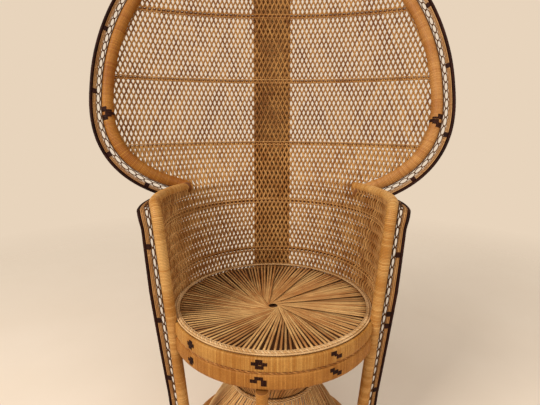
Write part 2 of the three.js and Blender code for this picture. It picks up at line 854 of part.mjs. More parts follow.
function spinePole(extra) {
  const count = Math.round(spineTopHeight / (2 * weavePitch));
  const places = Array.from({ length: count + 1 }, (_, at) => (
    spinePolePlace(floorRingHeight + ((spineTopHeight - floorRingHeight) * at) / count)
  ));
  const frames = framesAlong(places, () => new THREE.Vector3(0, -1, 0));
  const width = spinePoleDiameter + 2 * extra;
  return sweep(frames, () => ovalSection(width, width, ringSides));
}

function onSpine(along, height) {
  const turn = (along / spineHalfArc) * (Math.PI / 2);
  const place = spinePolePlace(height);
  place.x = spineHalfWidth * Math.sin(turn);
  place.y += spineBulge * Math.cos(turn);
  return place;
}

function spineNormal(along, height) {
  const sideways = onSpine(along + slopeStep, height).sub(onSpine(along - slopeStep, height));
  const rise = onSpine(along, height + slopeStep).sub(onSpine(along, height - slopeStep));
  return sideways.cross(rise).normalize();
}

const spineNet = {
  halfPitch: spineHalfArc / spineColumns,
  rowHeight: spineRowHeight,
  stripWidth: spineStripWidth,
  thickness: weaveThickness,
  place: onSpine,
  normal: spineNormal,
  reachAt: () => spineHalfArc,
};

// The centre post stands on the floor ring and holds up the apron
function makeCentrePost() {
  const middle = (apronInner + apronOuter) / 2;
  const foot = around(footRadius, centrePostAngle, floorRingHeight);
  const top = around(middle, centrePostAngle, apronBottom - jointGap);
  const frames = [foot, top].map((place) => (
    { place, across: around(1, centrePostAngle, 0), through: around(1, centrePostAngle + 90, 0) }
  ));
  const pole = sweep(frames, () => ovalSection(centrePostDiameter, centrePostDiameter, poleSides));
  return cut(pole, [clearFloorRing]);
}

// All the pieces together

function addPair(name, rightPiece, finish) {
  addPiece(`${name}_right`, rightPiece, finish);
  addPiece(`${name}_left`, mirrored(rightPiece), finish);
}

addPiece('floor_ring', makeFloorRing(), 'wrap');
addPiece('base_skirt', makeSkirt(), 'reed');
addPiece('waist_cord', makeWaistCord(), 'wrap');
addPiece('base_upper_cone', makeCone(), 'reed');
addPiece('pedestal_hoop', makePedestalHoop(), 'pole');
addPiece('seat_rail_lower', makeRail(lowerRailHeight, 0), 'pole');
addPiece('seat_rail_upper', makeRail(upperRailHeight, Math.PI / 2), 'pole');
addPiece('apron_lower_band', makeBand(apronBottom, -postAngle, postAngle), 'wrap');
addPiece('apron_upper_band', makeBand(apronUpperBottom, -postAngle, postAngle), 'wrap');
addPiece('wall_base_band', makeBand(apronBottom, postAngle, fullTurn - postAngle), 'wrap');
addPiece('apron_rope', makeApronRope(), 'honey');
addPiece('seat_hoop', makeSeatHoop(), 'pole');
addPiece('seat_rim_braid', makeBraid(), 'honey');
addPiece('seat_swirl', makeSwirl(), 'reed');
addPiece('front_centre_post', makeCentrePost(), 'wrap');

const rimHalfAt = () => rimWidth / 2;
const poleHalfAt = (frame) => poleWidthAt(frame) / 2;
const hoodCutters = [clearRimRight, toSolid(borderRoom(rimFrames, rimHalfAt))];
addPair('arm_post', cut(armPole(0), [clearFloorRing, ...hoodCutters]), 'wrap');
addPair('hood_rim', rimPole(0), 'wrap');

const hoodFrames = rimFrames.slice(0, -1);
const hoodBorder = borderPieces(hoodFrames, hoodFrames, rimHalfAt);
Object.entries(hoodBorder).forEach(([name, piece]) => {
  addPair(`hood_${name}`, piece, borderFinishes[name]);
});
const wingBorder = borderPieces(armFrames, bendFrames, poleHalfAt);
Object.entries(wingBorder).forEach(([name, piece]) => {
  addPair(`wing_${name}`, cut(piece, [clearFloorRing, ...hoodCutters]), borderFinishes[name]);
});

const wingRoom = borderRoom(bendFrames, poleHalfAt);
const poleCutters = [clearPostRight, clearPostLeft, clearRimRight, clearRimLeft];
const backCutters = [...poleCutters, toSolid(wingRoom), toSolid(mirrored(wingRoom))];
const panelEnds = [weaveFoot - bandHalf, ...partingLevels, rimTopHeight + bandHalf];
panelNames.forEach((name, at) => {
  const [low, high] = [panelEnds[at] + bandHalf, panelEnds[at + 1] - bandHalf];
  addPiece(`woven_panel_${name}`, netPanel(backNet, low, high, backCutters), 'weave');
});
partingLevels.forEach((level, at) => {
  addPiece(`twined_band_${panelNames[at + 1]}`, makeTwine(level, 0, poleCutters), 'honey');
});
const inFront = (weaveThickness + twineThickness) / 2 + twineStandOff;
addPiece('twined_band_seat', makeTwine(seatHeight + twineAboveSeat, inFront, poleCutters), 'honey');
addPiece('twined_band_arm', makeTwine(armHeight - twineBelowArm, inFront, poleCutters), 'honey');

const spineCutters = [toSolid(spinePole(jointGap)), toSolid(mirrored(spinePole(jointGap)))];
addPair('spine_pole', cut(spinePole(0), [clearFloorRing]), 'pole');
addPiece('spine_lattice', netPanel(spineNet, spineFoot, spineTopHeight, spineCutters), 'weave');

// The origin goes to the middle of the floor outline
const box = new THREE.Box3().setFromObject(chair);
chair.position.set(0, -(box.min.y + box.max.y) / 2, -box.min.z);

export default chair;
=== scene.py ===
"""The looks of a rattan peacock chair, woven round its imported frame.

A maker of such a chair winds split cane round poles, twines reeds across a net of strands and
ties them to hoops. This script does the same: every piece is made of strands that run along
paths, and each strand keeps its own tone. Lengths are in metres, measured from the chair's
upright axis until a mesh is finished, and the sitter faces -Y.
"""

import logging
import math
from dataclasses import dataclass
from enum import Enum

import bpy
import numpy as np
from mathutils import Matrix, Vector


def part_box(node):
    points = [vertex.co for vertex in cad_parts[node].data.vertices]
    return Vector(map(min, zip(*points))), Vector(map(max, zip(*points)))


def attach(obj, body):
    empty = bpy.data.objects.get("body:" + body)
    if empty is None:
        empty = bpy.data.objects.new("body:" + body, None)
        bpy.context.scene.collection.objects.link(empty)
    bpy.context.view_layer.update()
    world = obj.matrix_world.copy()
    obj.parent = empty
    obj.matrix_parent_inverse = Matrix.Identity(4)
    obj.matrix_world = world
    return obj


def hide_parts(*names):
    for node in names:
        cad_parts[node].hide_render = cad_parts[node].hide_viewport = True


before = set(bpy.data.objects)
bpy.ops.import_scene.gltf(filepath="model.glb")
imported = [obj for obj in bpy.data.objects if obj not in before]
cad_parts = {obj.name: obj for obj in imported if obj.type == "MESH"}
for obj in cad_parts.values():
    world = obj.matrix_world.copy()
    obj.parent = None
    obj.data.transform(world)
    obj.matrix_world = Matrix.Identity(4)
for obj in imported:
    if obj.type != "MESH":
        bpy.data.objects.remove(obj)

log = logging.getLogger("peacock_chair")

Array = np.ndarray
Colour = tuple[float, float, float]

MM = 0.001
TINY = 1e-12
SEED = 1968
PHOTO_WIDTH_PX = 540
SENSOR_WIDTH_MM = 36.0
UP = np.array([0.0, 0.0, 1.0])

FULL_TURN = 360
TURN_SHARES = (0.0, 0.2, 0.8)
DRIFT_TURNS = 17
DRIFT_MARGIN = 20
STEPS_PER_LAY = 10
TONE_OFFSET = 10.0
GRAIN_ALONG, GRAIN_ACROSS, GRAIN_BY_TONE = 45.0, 1500.0, 61.0
NOISE_SPAN = (0.3, 0.7)
ROUGHNESS_SHIFTS = (0.12, -0.08)
STREAK_SHIFTS = (-0.6, 0.25)
MOTTLE_SCALE, MOTTLE_TONE = 17.0, 0.35
FRECKLE_SCALE, FRECKLE_SPAN = 330.0, (0.62, 0.72)
# How far the painted crevice shade darkens a colour where the shade attribute is full.
CREVICE_SHADE_DEPTH = 0.85
BUMP_DEPTH = 0.25 * MM
RIM_PLACES = 240
POLE_STEP = 3 * MM
STRAND_SIDES = 6
REED_POWER = 2.4
FLAT_POWER = 3.0
REED_TONE_SPREAD = 0.28


def seat_axis_depth() -> float:
    """Returns the y of the chair's upright axis, the middle of its floor ring."""
    low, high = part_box("floor_ring")
    return (low.y + high.y) / 2


AXIS_Y = seat_axis_depth()


def srgb(code: str) -> Colour:
    """Turns a colour as it looks on a screen into the linear one that shaders use.

    Args:
        code: Six hexadecimal digits, two each for red, green and blue.

    Returns:
        The linear red, green and blue.
    """
    parts = [int(code[at:at + 2], 16) / 255 for at in (0, 2, 4)]
    red, green, blue = [
        part / 12.92 if part <= 0.04045 else ((part + 0.055) / 1.055) ** 2.4 for part in parts
    ]
    return red, green, blue


def unit(vectors: Array) -> Array:
    """Returns the vectors, each scaled to a length of one."""
    return vectors / np.maximum(np.linalg.norm(vectors, axis=-1, keepdims=True), TINY)


def around(radius: Array | float, angle: Array | float, height: Array | float) -> Array:
    """Places points on circles round the axis.

    Args:
        radius: The distance from the axis.
        angle: The angle in degrees from straight ahead, growing towards +X.
        height: The height above the floor.

    Returns:
        One row of x, y and z for each point.
    """
    turn = np.radians(angle)
    return np.stack(np.broadcast_arrays(radius * np.sin(turn), -radius * np.cos(turn), height), -1)


class Side(Enum):
    """Which side of the chair a piece is on, seen from the front."""

    RIGHT = 1
    LEFT = -1


@dataclass(frozen=True)
class Section:
    """The outline of a strand cut across, as offsets across and through it.

    Attributes:
        outline: One row of two offsets for each corner.
        normals: The outward direction at each corner.
        around: How far each corner lies round the strand from its edge.
    """

    outline: Array
    normals: Array
    around: Array

    @classmethod
    def oval(cls, width: float, depth: float, sides: int = 8, power: float = 2.0) -> "Section":
        """Makes an oval, or with a higher power a rounded bar.

        Args:
            width: The whole width across.
            depth: The whole depth through.
            sides: How many corners the outline has, an even number.
            power: 2 for an oval, more for squarer shoulders.

        Returns:
            The section.
        """
        turn = (np.arange(sides) + 0.5) * 2 * math.pi / sides
        cos, sin = np.cos(turn), np.sin(turn)
        across = np.sign(cos) * np.abs(cos) ** (2 / power) * width / 2
        through = np.sign(sin) * np.abs(sin) ** (2 / power) * depth / 2
        slope = 2 - 2 / power
        normals = unit(np.column_stack([
            np.sign(cos) * np.abs(cos) ** slope / width,
            np.sign(sin) * np.abs(sin) ** slope / depth,
        ]))
        folded = np.minimum(turn, 2 * math.pi - turn) * (width + depth) / 4
        return cls(np.column_stack([across, through]), normals, folded)


@dataclass(frozen=True)
class Path:
    """A line in space, with the way that its front and its side look.

    Attributes:
        points: The places along the line.
        through: The direction from the back to the front at each place.
        across: The sideways direction at each place.
        closed: True where the line runs round on itself.
    """

    points: Array
    through: Array
    across: Array
    closed: bool = False

    @classmethod
    def along(cls, points: Array, facing: Array, closed: bool = False) -> "Path":
        """Makes a path through points.

        Args:
            points: One row for each place.
            facing: The direction that the front looks, one row or one for each place.
            closed: True where the line runs round on itself.

        Returns:
            The path.
        """
        if closed:
            tangent = unit(np.roll(points, -1, 0) - np.roll(points, 1, 0))
        else:
            tangent = unit(np.gradient(points, axis=0))
        facing = np.broadcast_to(facing, points.shape)
        through = unit(facing - (facing * tangent).sum(1, keepdims=True) * tangent)
        return cls(points, through, np.cross(through, tangent), closed)

    def looped(self, values: Array) -> Array:
        """Returns the values, with the first again at the end of a closed path."""
        return np.concatenate([values, values[:1]]) if self.closed else values

    @property
    def distance(self) -> Array:
        """The distance of each place from the start."""
        gaps = np.linalg.norm(np.diff(self.looped(self.points), axis=0), axis=1)
        return np.concatenate([[0.0], np.cumsum(gaps)])

    @property
    def length(self) -> float:
        """The length of the whole line."""
        return float(self.distance[-1])

    def at(self, distances: Array) -> "Path":
        """Places the path's points anew.

        Args:
            distances: How far from the path's start each place is.

        Returns:
            The path with its places at these distances.
        """
        known = self.distance

        def pick(values: Array) -> Array:
            """Returns the values at the asked distances."""
            rows = self.looped(values)
            return np.column_stack([np.interp(distances, known, rows[:, i]) for i in range(3)])

        through, across = unit(pick(self.through)), unit(pick(self.across))
        return Path(pick(self.points), through, across, self.closed)

    def evenly(self, step: float) -> "Path":
        """Divides the path evenly.

        Args:
            step: About how long each step is.

        Returns:
            The path with a whole number of even steps.
        """
        count = max(2, round(self.length / step))
        if self.closed:
            return self.at(np.arange(count) * self.length / count)
        return self.at(np.linspace(0.0, self.length, count + 1))

    def between(self, start: float, end: float) -> "Path":
        """Cuts a stretch out of an open path.

        Args:
            start: The distance at which the stretch starts.
            end: The distance at which it ends.

        Returns:
            The stretch, with the path's own places inside it.
        """
        known = self.distance
        inside = known[(known > start) & (known < end)]
        return self.at(np.concatenate([[start], inside, [end]]))

    def shifted(self, across: Array | float = 0.0, through: Array | float = 0.0) -> "Path":
        """Moves the line sideways or to the front.

        Args:
            across: How far each place goes sideways.
            through: How far each place goes to the front.

        Returns:
            The moved path, with its directions square to its new run.
        """
        ones = np.ones(len(self.points))
        moved = self.points + self.across * (across * ones)[:, None]
        moved = moved + self.through * (through * ones)[:, None]
        return Path.along(moved, self.through, self.closed)


@dataclass(frozen=True)
class Winding:
    """How split cane is wound round a core.

    Attributes:
        pitch: The width of one turn.
        groove: How deep the line between two turns is.
        unevenness: How far one turn may stand above the next.
        drift: How strongly the tone changes along the pole.
        spread: How strongly the tone changes from turn to turn.
    """

    pitch: float = 3.5 * MM
    groove: float = 0.5 * MM
    unevenness: float = 0.14 * MM
    drift: float = 0.2
    spread: float = 0.2


class StrandMesh:
    """The mesh of one piece, gathered strand by strand."""

    def __init__(self, seed: int) -> None:
        """Starts an empty mesh.

        Args:
            seed: What its uneven places and tones follow from.
        """
        self.random = np.random.default_rng(SEED + seed)
        self.vertices: list[Array] = []
        self.quads: list[Array] = []
        self.strands: list[Array] = []
        self.shades: list[Array] = []
        self.count = 0

    def tone(self, spread: float = 0.2) -> float:
        """Returns a tone between 0 and 1 for the next strand."""
        return float(np.clip(self.random.normal(0.5, spread), 0.0, 1.0))

    def sweep(
        self,
        path: Path,
        section: Section,
        tone: Array | float | None = None,
        scale: Array | float = 1.0,
        swell: Array | float = 0.0,
        shade: Array | float = 0.0,
        edge_shade: float = 0.0,
    ) -> None:
        """Adds one closed body along a path.

        Args:
            path: Where the body runs.
            section: Its outline cut across.
            tone: Its tone, one for all or one for each place. Left out, it is drawn at random.
            scale: Its size against the section, one for all or one for each place.
            swell: How far its skin stands out, one for all or one for each place.
            shade: How much painted shade darkens it, as where it lies deep between strands, one for
                all or one for each place.
            edge_shade: How much painted shade darkens its two side edges.
        """
        places, sides = len(path.points), len(section.outline)
        ones = np.ones(places)
        tones = (self.tone() if tone is None else tone) * ones
        offsets = section.outline[None] * (scale * ones)[:, None, None]
        offsets = offsets + section.normals[None] * (swell * ones)[:, None, None]
        rings = path.points[:, None] + path.across[:, None] * offsets[..., :1]
        rings = rings + path.through[:, None] * offsets[..., 1:]
        distance = path.distance[:places] + self.random.uniform(0, TONE_OFFSET)
        strand = np.stack(np.broadcast_arrays(
            distance[:, None], section.around[None], tones[:, None]
        ), -1)
        # Painted shade: the side edges darken by edge_shade, the whole body by shade.
        edges = np.abs(section.normals[:, 0]) ** 2 * edge_shade
        shades = np.clip((shade * ones)[:, None] + edges[None], 0, 1)
        self.vertices.append(rings.reshape(-1, 3))
        self.strands.append(strand.reshape(-1, 3))
        self.shades.append(shades.reshape(-1))
        self.quads.append(self._faces(places, sides, path.closed) + self.count)
        self.count += places * sides

    @staticmethod
    def _faces(places: int, sides: int, closed: bool) -> Array:
        """Lists the faces of a swept body.

        Args:
            places: How many rings of corners it has.
            sides: How many corners each ring has.
            closed: True where the last ring joins the first. Otherwise both ends are capped.

        Returns:
            One row of four corner numbers for each face.
        """
        spans = np.arange(places if closed else places - 1)[:, None]
        side = np.arange(sides)[None]
        here, onward = spans * sides, ((spans + 1) % places) * sides
        after = (side + 1) % sides
        walls = np.stack([here + side, here + after, onward + after, onward + side], -1)
        faces = [walls.reshape(-1, 4)]
        if not closed:
            step = np.arange(sides // 2 - 1)
            cap = np.stack([step, step + 1, sides - 2 - step, sides - 1 - step], -1)
            faces += [cap[:, ::-1], cap + (places - 1) * sides]
        return np.concatenate(faces)

    def wind(self, path: Path, section: Section, winding: Winding = Winding()) -> None:
        """Winds split cane round a core as one body.

        Args:
            path: Where the core runs.
            section: The outline of the wound core.
            winding: How the turns lie.
        """
        turns = max(2, round(path.length / winding.pitch))
        pitch = path.length / turns
        stations = (np.arange(turns)[:, None] + np.array(TURN_SHARES)) * pitch
        wander = self.random.normal(0, 1, turns + 2 * DRIFT_MARGIN)
        spread_out = np.ones(DRIFT_TURNS) / math.sqrt(DRIFT_TURNS)
        drift = np.convolve(wander, spread_out, "same")[DRIFT_MARGIN:DRIFT_MARGIN + turns]
        tones = 0.5 + drift * winding.drift + self.random.normal(0, winding.spread, turns)
        heights = self.random.uniform(-winding.unevenness, winding.unevenness, turns)
        swell = np.column_stack([np.full(turns, -winding.groove), heights, heights])
        # Painted shade: the groove between two turns gets full shade, the tops of the turns none.
        shade = np.column_stack([np.ones(turns), np.zeros(turns), np.zeros(turns)])
        stations, swell, shade = stations.ravel(), swell.ravel(), shade.ravel()
        tones = np.repeat(np.clip(tones, 0, 1), len(TURN_SHARES))
        if not path.closed:
            stations = np.append(stations, path.length)
            swell, shade = np.append(swell, -winding.groove), np.append(shade, 1.0)
            tones = np.append(tones, tones[-1])
        self.sweep(path.at(stations), section, tones, swell=swell, shade=shade)

    def twist(
        self,
        path: Path,
        diameter: float,
        lay: float,
        plies: int = 2,
        half_across: float | None = None,
        half_through: float | None = None,
        hollow_shade: float = 0.45,
    ) -> None:
        """Twists strands round each other along a path.

        Args:
            path: The middle of the rope.
            diameter: The diameter of one ply.
            lay: The distance in which a ply goes round once.
            plies: How many plies there are.
            half_across: How far a ply swings sideways, half its diameter if left out.
            half_through: How far a ply swings to the front, half its diameter if left out.
            hollow_shade: How much painted shade darkens a ply on the side where it turns behind,
                from 0 to 0.5.
        """
        turns = path.length / lay
        turns = max(1, round(turns)) if path.closed else turns
        fine = path.evenly(lay / STEPS_PER_LAY)
        phase = fine.distance[:len(fine.points)] / path.length * turns * 2 * math.pi
        section = Section.oval(diameter, diameter, STRAND_SIDES)
        swing = diameter / 2 if half_across is None else half_across
        depth = diameter / 2 if half_through is None else half_through
        for ply in range(plies):
            turn = phase + 2 * math.pi * ply / plies
            route = fine.shifted(swing * np.cos(turn), depth * np.sin(turn))
            # Painted shade: each ply darkens where it turns behind the others.
            self.sweep(route, section, shade=hollow_shade - hollow_shade * np.sin(turn))

    def build(self, name: str, side: Side = Side.RIGHT) -> bpy.types.Object:
        """Turns what was gathered into an object.

        Args:
            name: The object's name.
            side: LEFT mirrors the mesh to the other side.

        Returns:
            The object, with the strand and shade attributes that its finish reads.
        """
        vertices = np.concatenate(self.vertices)
        quads = np.concatenate(self.quads)
        if side is Side.LEFT:
            vertices = vertices * [-1, 1, 1]
            quads = quads[:, ::-1]
        vertices = vertices + [0, AXIS_Y, 0]
        mesh = bpy.data.meshes.new(name)
        mesh.vertices.add(len(vertices))
        mesh.vertices.foreach_set("co", vertices.astype(np.float32).ravel())
        mesh.loops.add(quads.size)
        mesh.loops.foreach_set("vertex_index", quads.astype(np.int32).ravel())
        mesh.polygons.add(len(quads))
        mesh.polygons.foreach_set("loop_start", np.arange(len(quads), dtype=np.int32) * 4)
        strand = mesh.attributes.new("strand", "FLOAT_VECTOR", "POINT")
        strand.data.foreach_set("vector", np.concatenate(self.strands).astype(np.float32).ravel())
        shade = mesh.attributes.new("shade", "FLOAT", "POINT")
        shade.data.foreach_set("value", np.concatenate(self.shades).astype(np.float32))
        mesh.update(calc_edges=True)
        mesh.shade_smooth()
        built = bpy.data.objects.new(name, mesh)
        bpy.context.scene.collection.objects.link(built)
        return built


class Graph:
    """Adds nodes to a material and links them."""

    def __init__(self, tree: bpy.types.NodeTree) -> None:
        """Starts on an empty node tree."""
        self.tree = tree
        tree.nodes.clear()

    def node(self, kind: str, *inputs: object, out: int = 0, **settings: object) -> object:
        """Adds a node.

        Args:
            kind: The node's type.
            inputs: Values or sockets for its inputs in order, None to leave one as it is.
            out: Which output to return.
            settings: The node's own settings.

        Returns:
            The output socket, or the node itself where it has none.
        """
        made = self.tree.nodes.new(kind)
        for name, value in settings.items():
            setattr(made, name, value)
        for socket, value in zip(made.inputs, inputs):
            self.join(value, socket)
        return made.outputs[out] if made.outputs else made

    def join(self, value: object, socket: object) -> None:
        """Links a socket to an input, or sets the input's value.

        Args:
            value: A socket, a plain value, or None to leave the input as it is.
            socket: The input.
        """
        if isinstance(value, bpy.types.NodeSocket):
            self.tree.links.new(value, socket)
        elif value is not None:
            socket.default_value = value

    def math(self, operation: str, *inputs: object, clamp: bool = False) -> object:
        """Returns the result of a maths node."""
        return self.node("ShaderNodeMath", *inputs, operation=operation, use_clamp=clamp)

    def mix(self, share: object, first: object, second: object, blend: str = "MIX") -> object:
        """Mixes two colours.

        Args:
            share: How much of the second colour there is.
            first: The first colour.
            second: The second colour.
            blend: The way in which they mix.

        Returns:
            The mixed colour.
        """
        inputs = [share, None, None, None, None, None, first, second]
        return self.node("ShaderNodeMix", *inputs, out=2, data_type="RGBA", blend_type=blend)

    def span(self, value: object, low: float, high: float, to_low: float, to_high: float) -> object:
        """Returns a value mapped from one span to another, held at its ends."""
        return self.node("ShaderNodeMapRange", value, low, high, to_low, to_high)

    def noise(self, vector: object, scale: float, detail: float) -> object:
        """Returns the strength of a noise pattern."""
        return self.node("ShaderNodeTexNoise", vector, None, scale, detail, noise_dimensions="3D")


@dataclass(frozen=True)
class Cane:
    """A finish of rattan, split cane or reed.

    Attributes:
        name: The material's name.
        slot: The record's material slot; not used.
        body: The usual colour.
        pale: The colour of its lightest strands.
        crevice_shade: The painted shade colour that the shade attribute mixes in, between the
            strands, in grooves and at side edges.
        roughness: How matt it is.
        streaks: How strongly the fibres show, from 0 to 1.
        freckles: How strongly small dark marks show, from 0 to 1.
        gloss: How strongly the skin reflects, from 0 to 1.
        relief: How far the fibres stand out.
    """

    name: str
    slot: str
    body: Colour
    pale: Colour
    crevice_shade: Colour
    roughness: float
    streaks: float
    freckles: float
    gloss: float
    relief: float = 0.35

    def material(self) -> bpy.types.Material:
        """Makes the finish as a material, once.

        Returns:
            The material.
        """
        known = bpy.data.materials.get(self.name)
        if known:
            return known
        made = bpy.data.materials.new(self.name)
        made.use_nodes = True
        made.diffuse_color = (*self.body, 1.0)
        graph = Graph(made.node_tree)
        strand = graph.node("ShaderNodeAttribute", out=1, attribute_name="strand")
        parts = made.node_tree.nodes.new("ShaderNodeSeparateXYZ")
        graph.join(strand, parts.inputs[0])
        along, across, tone = parts.outputs
        grain_place = graph.node(
            "ShaderNodeCombineXYZ",
            graph.math("MULTIPLY", along, GRAIN_ALONG),
            graph.math("MULTIPLY", across, GRAIN_ACROSS),
            graph.math("MULTIPLY", tone, GRAIN_BY_TONE),
        )
        grain = graph.noise(grain_place, 1.0, 4.0)
        matt, sleek = (self.roughness + shift for shift in ROUGHNESS_SHIFTS)
        roughness = graph.span(grain, *NOISE_SPAN, matt, sleek)
        bump = made.node_tree.nodes.new("ShaderNodeBump")
        bump.inputs["Strength"].default_value = self.relief
        bump.inputs["Distance"].default_value = BUMP_DEPTH
        graph.join(grain, bump.inputs["Height"])
        surface = made.node_tree.nodes.new("ShaderNodeBsdfPrincipled")
        graph.join(self._colour(graph, tone, grain), surface.inputs["Base Color"])
        graph.join(roughness, surface.inputs["Roughness"])
        graph.join(bump.outputs[0], surface.inputs["Normal"])
        surface.inputs["Specular IOR Level"].default_value = self.gloss
        output = made.node_tree.nodes.new("ShaderNodeOutputMaterial")
        graph.join(surface.outputs[0], output.inputs[0])
        return made

    def _colour(self, graph: Graph, tone: object, grain: object) -> object:
        """Colours the strands by their tone, fibres and freckles, and paints shade into grooves,
        gaps and side edges.

        Args:
            graph: The material's nodes.
            tone: The socket with each strand's tone.
            grain: The socket with the pattern of the fibres.

        Returns:
            The socket with the colour.
        """
        place = graph.node("ShaderNodeTexCoord", out=3)
        mottle = graph.noise(place, MOTTLE_SCALE, 4.0)
        marks = graph.noise(place, FRECKLE_SCALE, 2.0)
        freckle = graph.span(marks, *FRECKLE_SPAN, 0.0, self.freckles)
        shift = graph.span(mottle, *NOISE_SPAN, -MOTTLE_TONE, MOTTLE_TONE)
        warmth = graph.math("ADD", tone, shift, clamp=True)
        colour = graph.mix(warmth, (*self.body, 1), (*self.pale, 1))
        darkest, lightest = (1 + self.streaks * shift for shift in STREAK_SHIFTS)
        lines = graph.span(grain, *NOISE_SPAN, darkest, lightest)
        tint = graph.node("ShaderNodeCombineColor", lines, lines, lines)
        colour = graph.mix(1.0, colour, tint, "MULTIPLY")
        # Painted shade: the shade attribute mixes the colour towards crevice_shade; the freckles,
        # which are real marks, join the same mix.
        shade = graph.node("ShaderNodeAttribute", out=2, attribute_name="shade")
        depth = graph.math("MULTIPLY", shade, CREVICE_SHADE_DEPTH)
        depth = graph.math("MAXIMUM", depth, freckle, clamp=True)
        return graph.mix(depth, colour, (*self.crevice_shade, 1))


def cane(name: str, slot: str, colours: str, *feel: float, gloss: float = 0.18) -> Cane:
    """Makes a finish from its colours as they look on a screen.

    Args:
        name: The material's name.
        slot: The record's material slot.
        colours: The body, pale and painted shade colours, as six hexadecimal digits each.
        feel: Its roughness, streaks and freckles.
        gloss: How strongly the skin reflects, from 0 to 1.

    Returns:
        The finish.
    """
    return Cane(name, slot, *map(srgb, colours.split()), *feel, gloss)


class Finish(Enum):
    """The finishes on the chair."""

    WRAP = cane("wrapped_cane_brown", "wrapped_cane", "99581C B5772E 562A0C", 0.5, 0.4, 0.25)
    # Painted light: a paler copy of the wrapped cane that stands in for the lamp light on the right
    # rim.
    TAN = cane("wrapped_cane_tan", "wrapped_cane", "AF7034 CC8F4C 643512", 0.5, 0.4, 0.25)
    HONEY = cane("wrapped_cane_honey", "wrapped_cane", "B37632 D8A25C 6E3F17", 0.5, 0.4, 0.25)
    BAND = cane("wrapped_cane_gold", "wrapped_cane", "AB6E2A CA9147 683A12", 0.5, 0.4, 0.2)
    LOW_BAND = cane("wrapped_cane_amber", "wrapped_cane", "9C5F20 BA7C36 5E300D", 0.5, 0.4, 0.2)
    # Own colour and painted shade: the hood net is darker than the wall and column cane, standing
    # in for shade on a net seen against the light.
    WEAVE = cane("woven_net_cane", "woven_cane", "804C1D BC8444 2E1506", 0.6, 0.5, 0.35)
    WALL = cane("woven_wall_cane", "woven_cane", "9C6229 D29A57 40200B", 0.6, 0.5, 0.35)
    COLUMN = cane("woven_column_cane", "woven_cane", "B97D42 DBA664 5A3214", 0.6, 0.5, 0.35)
    TWINE = cane("twined_row_cane", "twined_cane", "B57838 DEAB6B 5A2B10", 0.6, 0.5, 0.2)
    REED = cane("golden_split_reed", "split_reed", "BA7D43 E4B26F 42200F", 0.56, 0.7, 0.3)
    STRIP = cane("border_reed", "split_reed", "A56C36 CB965A 2E1407", 0.55, 0.6, 0.4)
    ROPE = cane("pale_twisted_rope", "twisted_rope", "C38F52 E6BD88 64341A", 0.55, 0.5, 0.3)
    CORD = cane("brown_twisted_rope", "twisted_rope", "A4632A C98B4A 3B1A0A", 0.55, 0.5, 0.3)
    DARK = cane("wound_dark_cane", "dark_cane", "1D0B07 38190F 0A0402", 0.55, 0.5, 0.1, gloss=0.08)
    POLE = cane("peeled_pole", "bare_pole", "94602E B98347 55300F", 0.55, 0.6, 0.5)


@dataclass
class Piece:
    """One piece as it comes off the bench.

    Attributes:
        name: Its name.
        mesh: Its strands.
        finish: Its finish.
        stands_for: The frame's nodes that it stands for.
        side: The side that it is on.
    """

    name: str
    mesh: StrandMesh
    finish: Finish
    stands_for: tuple[str, ...] = ()
    side: Side = Side.RIGHT


@dataclass
class SubAssembly:
    """A group of pieces that is made and dressed together."""

    def build(self) -> list[Piece]:
        """Makes the pieces; each kind of sub-assembly has its own."""
        raise NotImplementedError

    def dress(self, pieces: list[Piece]) -> list[bpy.types.Object]:
        """Gives pieces their finish and sets them on the frame.

        Args:
            pieces: What build returned.

        Returns:
            The finished objects.
        """
        finished = []
        for piece in pieces:
            finish = piece.finish.value
            built = piece.mesh.build(piece.name, piece.side)
            built.data.materials.append(finish.material())
            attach(built, "root")
            if piece.stands_for:
                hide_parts(*piece.stands_for)
            finished.append(built)
        return finished


